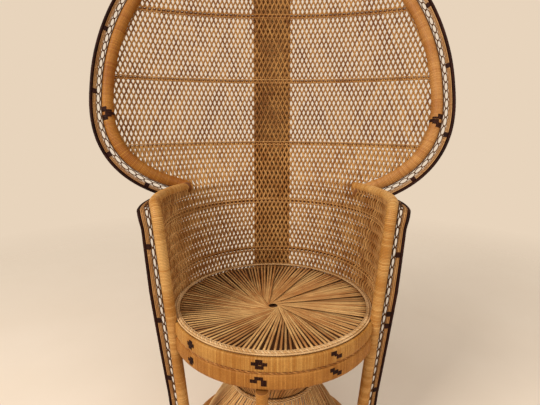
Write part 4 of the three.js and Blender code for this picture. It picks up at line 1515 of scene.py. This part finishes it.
@dataclass
class Seat(SubAssembly):
    """The dished swirl of reeds, its rim and hoop, the wound apron and the rails below."""

    height: float = 0.436
    hub_height: float = 0.400
    rest_height: float = 0.427
    hub_hole: float = 12 * MM
    hub_width: float = 22 * MM
    tail: float = 13 * MM
    bundles: int = 13
    reeds: int = 10
    reed_width: float = 5.6 * MM
    reed_depth: float = 2.4 * MM
    reed_places: int = 16
    reed_sway: float = 0.22
    reed_unevenness: float = 0.5 * MM
    reed_lap: float = 1.5
    narrowest: float = 0.35
    underlap_shade_from: float = 0.6
    underlap_shade_gain: float = 2.2
    underlap_shade_fade: float = 0.7
    rim_gap: float = 0.6
    rim_radius: float = 0.2369
    widening: float = 0.5
    widest_heading: float = 12.0
    lift: float = 8.5 * MM
    lift_fade: float = 0.6
    bed_reeds: int = 60
    bed_start: float = 0.07
    bed_places: int = 12
    bed_drop: float = 2.4 * MM
    bed_depth: float = 1.4 * MM
    bed_overlap: float = 1.3
    braid_radius: float = 0.24122
    braid_shift: float = 0.4 * MM
    braid_drop: float = 4.6 * MM
    braid_ply: float = 4.0 * MM
    braid_lay: float = 13 * MM
    braid_swing: tuple[float, float] = (1.5 * MM, 1.9 * MM)
    edge_cords: tuple[tuple[float, float, float], ...] = (
        (-4.0 * MM, 3.4 * MM, 2.4 * MM), (6.0 * MM, 6.0 * MM, 4.2 * MM),
    )
    edge_cord_lay: float = 8 * MM
    edge_cord_ply: float = 0.6
    edge_cord_swing: float = 0.2
    hoop_radius: float = 0.2370
    hoop_height: float = 0.4187
    hoop_diameter: float = 16 * MM
    band_radius: float = 0.2503
    upper_width: float = 32 * MM
    lower_width: float = 34 * MM
    band_depth: float = 10 * MM
    band_power: float = 5.0
    band_winding: Winding = Winding(pitch=2.8 * MM, groove=0.5 * MM, drift=0.12, spread=0.26)
    upper_band: float = 0.4105
    lower_band: float = 0.3724
    post_cover: float = 2.6
    foot_band_cover: float = 5.0
    rope_radius: float = 0.2512
    rope_height: float = 0.3920
    rope_ply: float = 2.6 * MM
    rope_lay: float = 24 * MM
    shade_strip_width: float = 8 * MM
    shade_strip_depth: float = 2 * MM
    shade_strip_inset: float = 4.5 * MM
    rail_reach: float = 0.2445
    rail_places: int = 60
    rail_diameter: float = 22 * MM
    upper_rail: float = 0.3887
    lower_rail: float = 0.3664
    upper_motifs: tuple[tuple[float, tuple[Inlay, ...]], ...] = (
        (-45.0, (Inlay(-5, 7, 5, 11), Inlay(-12, 12, -3, 5.5), Inlay(-8, 3, -9.5, -2.5))),
        (-7.3, (
            Inlay(-7, 7, 6.5, 13), Inlay(-16, -2.5, -0.5, 6.8), Inlay(-2.5, 5, 1.5, 6.8),
            Inlay(5, 16, -0.5, 6.8), Inlay(-8, 9, -8, -0.2),
        )),
        (29.9, (Inlay(-14, 0, 3.5, 12), Inlay(-5, 5, 0, 4), Inlay(0, 14, -7, 1.5))),
    )
    lower_motifs: tuple[tuple[float, tuple[Inlay, ...]], ...] = (
        (-45.0, (Inlay(-4, 9, 3.5, 9.5), Inlay(-12, 9, -3, 3.8), Inlay(-7, 5, -9.5, -2.8))),
        (-7.3, (
            Inlay(-9, 8.5, 5.5, 12.5), Inlay(-18, -4, -1.5, 6), Inlay(4, 16, -7.5, 6),
        )),
        (29.9, (Inlay(-15, -3, 4, 12), Inlay(-8, 7, -3, 5.5), Inlay(4, 15, -9, 0))),
    )

    def build(self) -> list[Piece]:
        """Makes the seat.

        Returns:
            The swirl, its rim and hoop, the apron and the rails.
        """
        swirl = StrandMesh(seed=100)
        for bundle in range(self.bundles):
            self._add_bundle(swirl, bundle)
        self._add_shaded_bed(swirl)
        return [
            Piece("seat_reeds", swirl, Finish.REED, ("seat_swirl",)),
            *self._rim_pieces(),
            *self._apron_pieces(),
            *self._rail_pieces(),
        ]

    def _add_bundle(self, mesh: StrandMesh, bundle: int) -> None:
        """Lays one bundle of reeds from the hub to the rim, over its clockwise neighbour.

        Args:
            mesh: The mesh that gets the reeds.
            bundle: The bundle's number.
        """
        step = FULL_TURN / self.bundles
        heading = math.radians(bundle * step)
        tangent = math.asin(self.hub_hole / self.rim_radius)
        fan = math.radians(step - self.rim_gap)
        out = np.linspace(0, 1, self.reed_places)
        for number in range(self.reeds):
            over = (number + 0.5) / self.reeds
            hub = self.hub_hole + over * self.hub_width
            hub_x = -math.sin(heading) * hub - math.cos(heading) * self.tail
            hub_y = math.cos(heading) * hub - math.sin(heading) * self.tail
            sway = math.radians(mesh.random.normal(0, self.reed_sway))
            turn = heading + tangent + over * fan + sway
            x = hub_x + (self.rim_radius * math.cos(turn) - hub_x) * out
            y = hub_y + (self.rim_radius * math.sin(turn) - hub_y) * out
            lift = self.lift * (1 - over) * (1 - self.lift_fade * out)
            bed = self.hub_height + (self.rest_height - self.hub_height) * out
            unevenness = mesh.random.uniform(0, self.reed_unevenness)
            height = bed + lift + self.reed_depth / 2 + unevenness
            points = np.column_stack([x, y, height])
            room = self.hub_width / self.reeds + out * self.rim_radius * fan / self.reeds
            facing = max(0.0, math.cos(turn - math.radians(self.widest_heading)))
            width = self.reed_width * (1 + self.widening * facing)
            # Painted shade: reeds that dive under the neighbouring bundle darken, most near the
            # hub.
            underlap_shade = np.clip((over - self.underlap_shade_from) * self.underlap_shade_gain, 0, 1)
            mesh.sweep(
                Path.along(points, UP),
                Section.oval(width, self.reed_depth, power=REED_POWER),
                tone=mesh.tone(REED_TONE_SPREAD),
                scale=np.clip(room * self.reed_lap / width, self.narrowest, 1.0),
                shade=underlap_shade * (1 - self.underlap_shade_fade * out),
                edge_shade=0.8,
            )

    def _add_shaded_bed(self, mesh: StrandMesh) -> None:
        """Lays flat reeds under the bundles, which close the seat from below, coloured with full
        painted shade.

        Args:
            mesh: The mesh that gets the reeds.
        """
        share = np.linspace(self.bed_start, 1.0, self.bed_places)
        width = 2 * math.pi * self.rim_radius / self.bed_reeds * self.bed_overlap
        reed = Section.oval(width, self.bed_depth, power=FLAT_POWER)
        height = self.hub_height + (self.rest_height - self.hub_height) * share - self.bed_drop
        for number in range(self.bed_reeds):
            angle = number * FULL_TURN / self.bed_reeds
            points = around(self.rim_radius * share, angle, height)
            # Painted shade: tone 0 and full shade make these reeds the shade seen between the
            # bundles.
            mesh.sweep(Path.along(points, UP), reed, tone=0.0, scale=share, shade=1.0)

    def _rim_pieces(self) -> list[Piece]:
        """Makes the seat's rim.

        Returns:
            The braid with a fine cord on each side of it, and the hoop under it.
        """
        braid = StrandMesh(seed=101)
        middle = ring(self.braid_radius + self.braid_shift, self.height - self.braid_drop)
        braid.twist(middle, self.braid_ply, self.braid_lay, 2, *self.braid_swing, hollow_shade=0.12)
        for shift, drop, width in self.edge_cords:
            cord = ring(self.braid_radius + shift, self.height - drop)
            ply, swing = width * self.edge_cord_ply, width * self.edge_cord_swing
            braid.twist(cord, ply, self.edge_cord_lay, 2, swing, swing, hollow_shade=0.1)
        hoop = StrandMesh(seed=102)
        add_bare_pole(hoop, ring(self.hoop_radius, self.hoop_height), self.hoop_diameter)
        return [
            Piece("seat_braid", braid, Finish.ROPE, ("seat_rim_braid",)),
            Piece("seat_hoop_cane", hoop, Finish.POLE, ("seat_hoop",)),
        ]

    def _apron_pieces(self) -> list[Piece]:
        """Makes the apron.

        Returns:
            The wound bands, the dark motifs, the band at the wall's foot and the rope with its
            painted shade strip.
        """
        edge = BACK.post_angle - self.post_cover
        pieces = []
        for name, height, width, motifs, finish, seed in (
            ("upper", self.upper_band, self.upper_width, self.upper_motifs, Finish.BAND, 103),
            ("lower", self.lower_band, self.lower_width, self.lower_motifs, Finish.LOW_BAND, 104),
        ):
            section = Section.oval(width, self.band_depth, 16, self.band_power)
            path = ring(self.band_radius, height, -edge, edge)
            band = StrandMesh(seed)
            band.wind(path, section, self.band_winding)
            pieces.append(Piece(f"apron_winding_{name}", band, finish, (f"apron_{name}_band",)))
            inlaid = StrandMesh(seed + 10)
            for angle, blocks in motifs:
                middle = math.radians(angle + edge) * self.band_radius
                for block in blocks:
                    block.add_to(inlaid, path, middle, width, self.band_depth, self.band_power)
            pieces.append(Piece(f"apron_motifs_{name}", inlaid, Finish.DARK))
        back = StrandMesh(seed=105)
        start = edge + self.foot_band_cover
        section = Section.oval(self.lower_width, self.band_depth, 16, self.band_power)
        back.wind(ring(self.band_radius, self.lower_band, start, FULL_TURN - start), section)
        pieces.append(Piece("wall_foot_winding", back, Finish.WRAP, ("wall_base_band",)))
        rope = StrandMesh(seed=106)
        line = ring(self.rope_radius, self.rope_height, -edge, edge)
        rope.twist(line, self.rope_ply, self.rope_lay)
        # Painted shade: a flat strip behind the rope, coloured with full shade, stands in for the
        # shadow between the bands.
        shade_strip_line = ring(self.rope_radius - self.shade_strip_inset, self.rope_height, -edge, edge)
        strip = Section.oval(self.shade_strip_width, self.shade_strip_depth, power=FLAT_POWER)
        rope.sweep(shade_strip_line, strip, tone=0.0, shade=1.0)
        pieces.append(Piece("apron_twist", rope, Finish.CORD, ("apron_rope",)))
        return pieces

    def _rail_pieces(self) -> list[Piece]:
        """Makes the crossed rails under the seat.

        Returns:
            The upper rail and the lower one.
        """
        pieces = []
        for name, height, way, seed in (
            ("upper", self.upper_rail, np.array([0.0, 1.0, 0.0]), 107),
            ("lower", self.lower_rail, np.array([1.0, 0.0, 0.0]), 108),
        ):
            rail = StrandMesh(seed)
            line = np.linspace(-self.rail_reach, self.rail_reach, self.rail_places)[:, None]
            points = line * way + [0, 0, height]
            add_bare_pole(rail, Path.along(points, UP), self.rail_diameter)
            pieces.append(Piece(f"rail_cane_{name}", rail, Finish.POLE, (f"seat_rail_{name}",)))
        return pieces


@dataclass
class Pedestal(SubAssembly):
    """The floor ring, the flared skirt of reeds, the tied waist and the woven cone above it."""

    ring_radius: float = 0.2285
    ring_height: float = 14 * MM
    ring_diameter: float = 30 * MM
    waist_radius: float = 0.104
    waist_height: float = 0.212
    skirt_radius: float = 0.2087
    skirt_flare: float = 1.4
    skirt_turn: float = -30.0
    skirt_bundles: int = 16
    skirt_reeds: int = 7
    skirt_fan: float = 0.9
    skirt_sway: float = 0.3
    skirt_places: int = 22
    skirt_scale: tuple[float, float, float] = (0.86, 0.5, 1.25)
    skirt_reed: tuple[float, float] = (6.2 * MM, 2.4 * MM)
    foot_hoop_diameter: float = 9 * MM
    hoop_radius: float = 0.190
    hoop_height: float = 0.3451
    hoop_diameter: float = 20 * MM
    neck_inset: float = 2.5 * MM
    cord_radius: float = 0.1103
    cord_gap: float = 3.1 * MM
    cord_ply: float = 3.2 * MM
    cord_lay: float = 16 * MM
    cord_swing: float = 1.4 * MM
    cone_reeds: int = 100
    cone_turn: float = 7.0
    cone_sway: float = 0.25
    cone_places: int = 14
    cone_depth: float = 2.0 * MM
    cone_width: float = 6.0 * MM
    lining_width: float = 9.5 * MM
    lining_inset: float = 2.2 * MM
    post_angle: float = -6.1
    post_diameter: float = 26 * MM
    post_rise: float = 8 * MM
    post_places: int = 80
    post_top: float = 0.3506
    post_top_radius: float = 0.2503

    def build(self) -> list[Piece]:
        """Makes the pedestal.

        Returns:
            The floor ring, the skirt, the waist, the cone, the hoop on it and the centre post.
        """
        floor = StrandMesh(seed=120)
        section = Section.oval(self.ring_diameter, self.ring_diameter, 18)
        floor.wind(ring(self.ring_radius, self.ring_height), section)
        floor.vertices[-1][:, 2] = np.maximum(floor.vertices[-1][:, 2], 0.0)
        hoop = StrandMesh(seed=121)
        add_bare_pole(hoop, ring(self.hoop_radius, self.hoop_height), self.hoop_diameter)
        post = StrandMesh(seed=122)
        ends = np.stack([
            around(self.ring_radius, self.post_angle, self.ring_height + self.post_rise),
            around(self.post_top_radius, self.post_angle, self.post_top),
        ])
        line = ends[0] + (ends[1] - ends[0]) * np.linspace(0, 1, self.post_places)[:, None]
        path = Path.along(line, around(1.0, self.post_angle, 0.0))
        post.wind(path, Section.oval(self.post_diameter, self.post_diameter, 16))
        return [
            Piece("floor_ring_winding", floor, Finish.WRAP, ("floor_ring",)),
            self._skirt(),
            self._waist(),
            self._cone(),
            Piece("pedestal_hoop_cane", hoop, Finish.POLE, ("pedestal_hoop",)),
            Piece("centre_post_winding", post, Finish.HONEY, ("front_centre_post",)),
        ]

    def _skirt(self) -> Piece:
        """Makes the flared skirt of turned reeds.

        Returns:
            The skirt, with the hoop inside its foot.
        """
        skirt = StrandMesh(seed=123)
        share = np.linspace(0, 1, self.skirt_places)
        neck = self.waist_radius - self.neck_inset
        radius = neck + (self.skirt_radius - neck) * (1 - (1 - share) ** self.skirt_flare)
        top = self.waist_height
        height = top + (self.ring_height - top) * share
        bundle_angle = FULL_TURN / self.skirt_bundles
        reed = Section.oval(*self.skirt_reed, power=REED_POWER)
        narrowest, growth, widest = self.skirt_scale
        widths = np.clip(narrowest + growth * share, 0, widest)
        for bundle in range(self.skirt_bundles):
            for number in range(self.skirt_reeds):
                start = (bundle + (number + 0.5) / self.skirt_reeds) * bundle_angle
                start += skirt.random.normal(0, self.skirt_sway)
                spread = (number - (self.skirt_reeds - 1) / 2) * -self.skirt_fan
                angles = start + (self.skirt_turn + spread) * share
                points = around(radius, angles, height)
                facing = around(1.0, angles, 0.0)
                skirt.sweep(
                    Path.along(points, facing),
                    reed,
                    tone=skirt.tone(REED_TONE_SPREAD),
                    scale=widths,
                    edge_shade=0.8,
                )
        foot = ring(self.skirt_radius, self.ring_height)
        add_bare_pole(skirt, foot, self.foot_hoop_diameter)
        return Piece("skirt_reeds", skirt, Finish.REED, ("base_skirt",))

    def _waist(self) -> Piece:
        """Makes the cord that ties the waist.

        Returns:
            The cord, two twisted rows one above the other.
        """
        cord = StrandMesh(seed=124)
        for way in (1, -1):
            path = ring(self.cord_radius, self.waist_height + way * self.cord_gap)
            cord.twist(path, self.cord_ply, self.cord_lay, half_through=self.cord_swing)
        return Piece("waist_twist", cord, Finish.ROPE, ("waist_cord",))

    def _cone(self) -> Piece:
        """Makes the dense cone of reeds between the waist and the pedestal's hoop.

        Returns:
            The cone, with a lining of wider reeds turned the other way, darkened with painted
            shade.
        """
        cone = StrandMesh(seed=125)
        share = np.linspace(0, 1, self.cone_places)
        neck = self.waist_radius - self.neck_inset
        radius = neck + (self.hoop_radius - self.waist_radius) * share
        height = self.waist_height + (self.hoop_height - self.waist_height) * share
        scale = radius / radius[0]
        for count, turn, inset, width in (
            (self.cone_reeds, self.cone_turn, 0.0, self.cone_width),
            (self.cone_reeds // 2, -self.cone_turn, self.lining_inset, self.lining_width),
        ):
            reed = Section.oval(width, self.cone_depth, power=REED_POWER)
            for number in range(count):
                sway = cone.random.normal(0, self.cone_sway)
                angles = number * FULL_TURN / count + turn * share + sway
                points = around(radius - inset, angles, height)
                # Painted shade: the lining inside gets much more shade than the outer reeds.
                cone.sweep(
                    Path.along(points, around(1.0, angles, 0.0)),
                    reed,
                    scale=scale,
                    shade=0.1 if inset == 0 else 0.7,
                    edge_shade=0.8,
                )
        return Piece("cone_reeds", cone, Finish.STRIP, ("base_upper_cone",))


@dataclass(frozen=True)
class SoftLight:
    """One square area light that looks at the chair's middle."""

    name: str
    place: tuple[float, float, float]
    power: float
    size: float


@dataclass
class Studio:
    """The camera, the pale floor and the soft lights."""

    focal_px: float = 390.9
    pitch: float = 12.2
    camera_height: float = 0.889
    camera_distance: float = 0.940
    camera_shift: float = -0.0085
    azimuth: float = -0.5
    roll: float = 0.1
    clip: tuple[float, float] = (0.05, 50.0)
    floor_radii: tuple[float, ...] = (0.5, 1.0, 1.6, 2.4, 4.0)
    floor_corners: int = 96
    floor_fade: tuple[float, float] = (0.9, 2.8)
    floor_colour: Colour = srgb("EBD7C0")
    cloud_colour: Colour = srgb("E0CAB0")
    cloud_scale: float = 2.5
    cloud_detail: float = 5.0
    cloud_strength: float = 0.35
    wall_colour: Colour = srgb("E8D4BC")
    world_light: float = 0.40
    world_colour: tuple[float, ...] = (1.0, 0.98, 0.95, 1.0)
    aim_height: float = 0.75
    lights: tuple[SoftLight, ...] = (
        SoftLight("key_light", (-2.4, -2.2, 2.9), 132.0, 1.6),
        SoftLight("fill_light", (1.6, -2.7, 2.3), 50.0, 2.4),
        SoftLight("back_light", (0.6, 2.8, 3.0), 30.0, 2.2),
    )

    def place_camera(self) -> None:
        """Sets the camera at the photograph's viewpoint."""
        data = bpy.data.cameras.new("photo_camera")
        data.sensor_width = SENSOR_WIDTH_MM
        data.lens = self.focal_px * SENSOR_WIDTH_MM / PHOTO_WIDTH_PX
        data.clip_start, data.clip_end = self.clip
        camera = bpy.data.objects.new("photo_camera", data)
        bpy.context.scene.collection.objects.link(camera)
        turn = math.radians(self.azimuth)
        right = Vector((math.cos(turn), math.sin(turn), 0.0))
        away = Vector((math.sin(turn), -math.cos(turn), 0.0))
        spot = right * self.camera_shift + away * self.camera_distance
        aim = Matrix.Rotation(turn, 4, "Z") @ Matrix.Rotation(math.radians(90 - self.pitch), 4, "X")
        aim = aim @ Matrix.Rotation(math.radians(self.roll), 4, "Z")
        place = Matrix.Translation(Vector((spot.x, AXIS_Y + spot.y, self.camera_height)))
        camera.matrix_world = place @ aim
        bpy.context.scene.camera = camera

    def lay_floor(self) -> None:
        """Lays a round pale floor that fades into the background, and marks it as stage."""
        count = self.floor_corners
        mesh = StrandMesh(seed=200)
        corners = np.arange(count)
        angles = corners * FULL_TURN / count
        mesh.vertices = [around(radius, angles, 0.0) for radius in self.floor_radii]
        for at in range(len(self.floor_radii) - 1):
            here = at * count + corners
            onward = here + count
            quads = [here, onward, np.roll(onward, -1), np.roll(here, -1)]
            mesh.quads.append(np.stack(quads, -1))
        half = np.arange(count // 2 - 1)
        middle = [half, half + 1, count - 2 - half, count - 1 - half]
        mesh.quads.append(np.stack(middle, -1))
        mesh.strands = [np.zeros((len(self.floor_radii) * count, 3))]
        mesh.shades = [np.zeros(len(self.floor_radii) * count)]
        floor = mesh.build("studio_floor")
        floor.data.materials.append(self._floor_material())

    def _floor_material(self) -> bpy.types.Material:
        """Makes the floor's finish.

        Returns:
            A matt, faintly clouded material that is clear far from the chair.
        """
        material = bpy.data.materials.new("pale_floor")
        material.use_nodes = True
        graph = Graph(material.node_tree)
        place = graph.node("ShaderNodeTexCoord", out=3)
        away = graph.node("ShaderNodeVectorMath", place, operation="LENGTH", out=1)
        fade = graph.span(away, *self.floor_fade, 0.0, 1.0)
        pattern = graph.noise(place, self.cloud_scale, self.cloud_detail)
        cloud = graph.span(pattern, *NOISE_SPAN, 0.0, self.cloud_strength)
        colour = graph.mix(cloud, (*self.floor_colour, 1), (*self.cloud_colour, 1))
        matt = graph.node("ShaderNodeBsdfDiffuse", colour)
        clear = graph.node("ShaderNodeBsdfTransparent")
        mixed = graph.node("ShaderNodeMixShader", fade, matt, clear)
        graph.node("ShaderNodeOutputMaterial", mixed)
        return material

    def light(self) -> None:
        """Hangs the soft lights and sets the pale surroundings."""
        for light in self.lights:
            data = bpy.data.lights.new(light.name, "AREA")
            data.energy, data.size = light.power, light.size
            lamp = bpy.data.objects.new(light.name, data)
            bpy.context.scene.collection.objects.link(lamp)
            lamp.location = light.place
            way = Vector((0, AXIS_Y, self.aim_height)) - lamp.location
            lamp.rotation_euler = way.to_track_quat("-Z", "Y").to_euler()
        world = bpy.data.worlds.new("studio")
        world.use_nodes = True
        bpy.context.scene.world = world
        graph = Graph(world.node_tree)
        path = world.node_tree.nodes.new("ShaderNodeLightPath")
        seen = graph.math("MAXIMUM", path.outputs["Is Camera Ray"], path.outputs["Is Glossy Ray"])
        seen = graph.math("MAXIMUM", seen, path.outputs["Is Transmission Ray"])
        soft = graph.node("ShaderNodeBackground", self.world_colour, self.world_light)
        shown = graph.node("ShaderNodeBackground", (*self.wall_colour, 1.0), 1.0)
        mixed = graph.node("ShaderNodeMixShader", seen, soft, shown)
        graph.node("ShaderNodeOutputWorld", mixed)
        bpy.context.scene.view_settings.view_transform = "Standard"


def main() -> None:
    """Builds the chair's sub-assemblies in order and reports each piece."""
    logging.basicConfig(level=logging.INFO, format="%(name)s: %(message)s")
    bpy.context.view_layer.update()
    studio = Studio()
    studio.place_camera()
    for assembly in (Pedestal(), Seat(), Arms(), Hood(), WovenBack(), Spine()):
        title = type(assembly).__name__
        for built in assembly.dress(assembly.build()):
            log.info("%s: %s, %d faces", title, built.name, len(built.data.polygons))
    studio.lay_floor()
    studio.light()


if __name__ == "__main__":
    main()
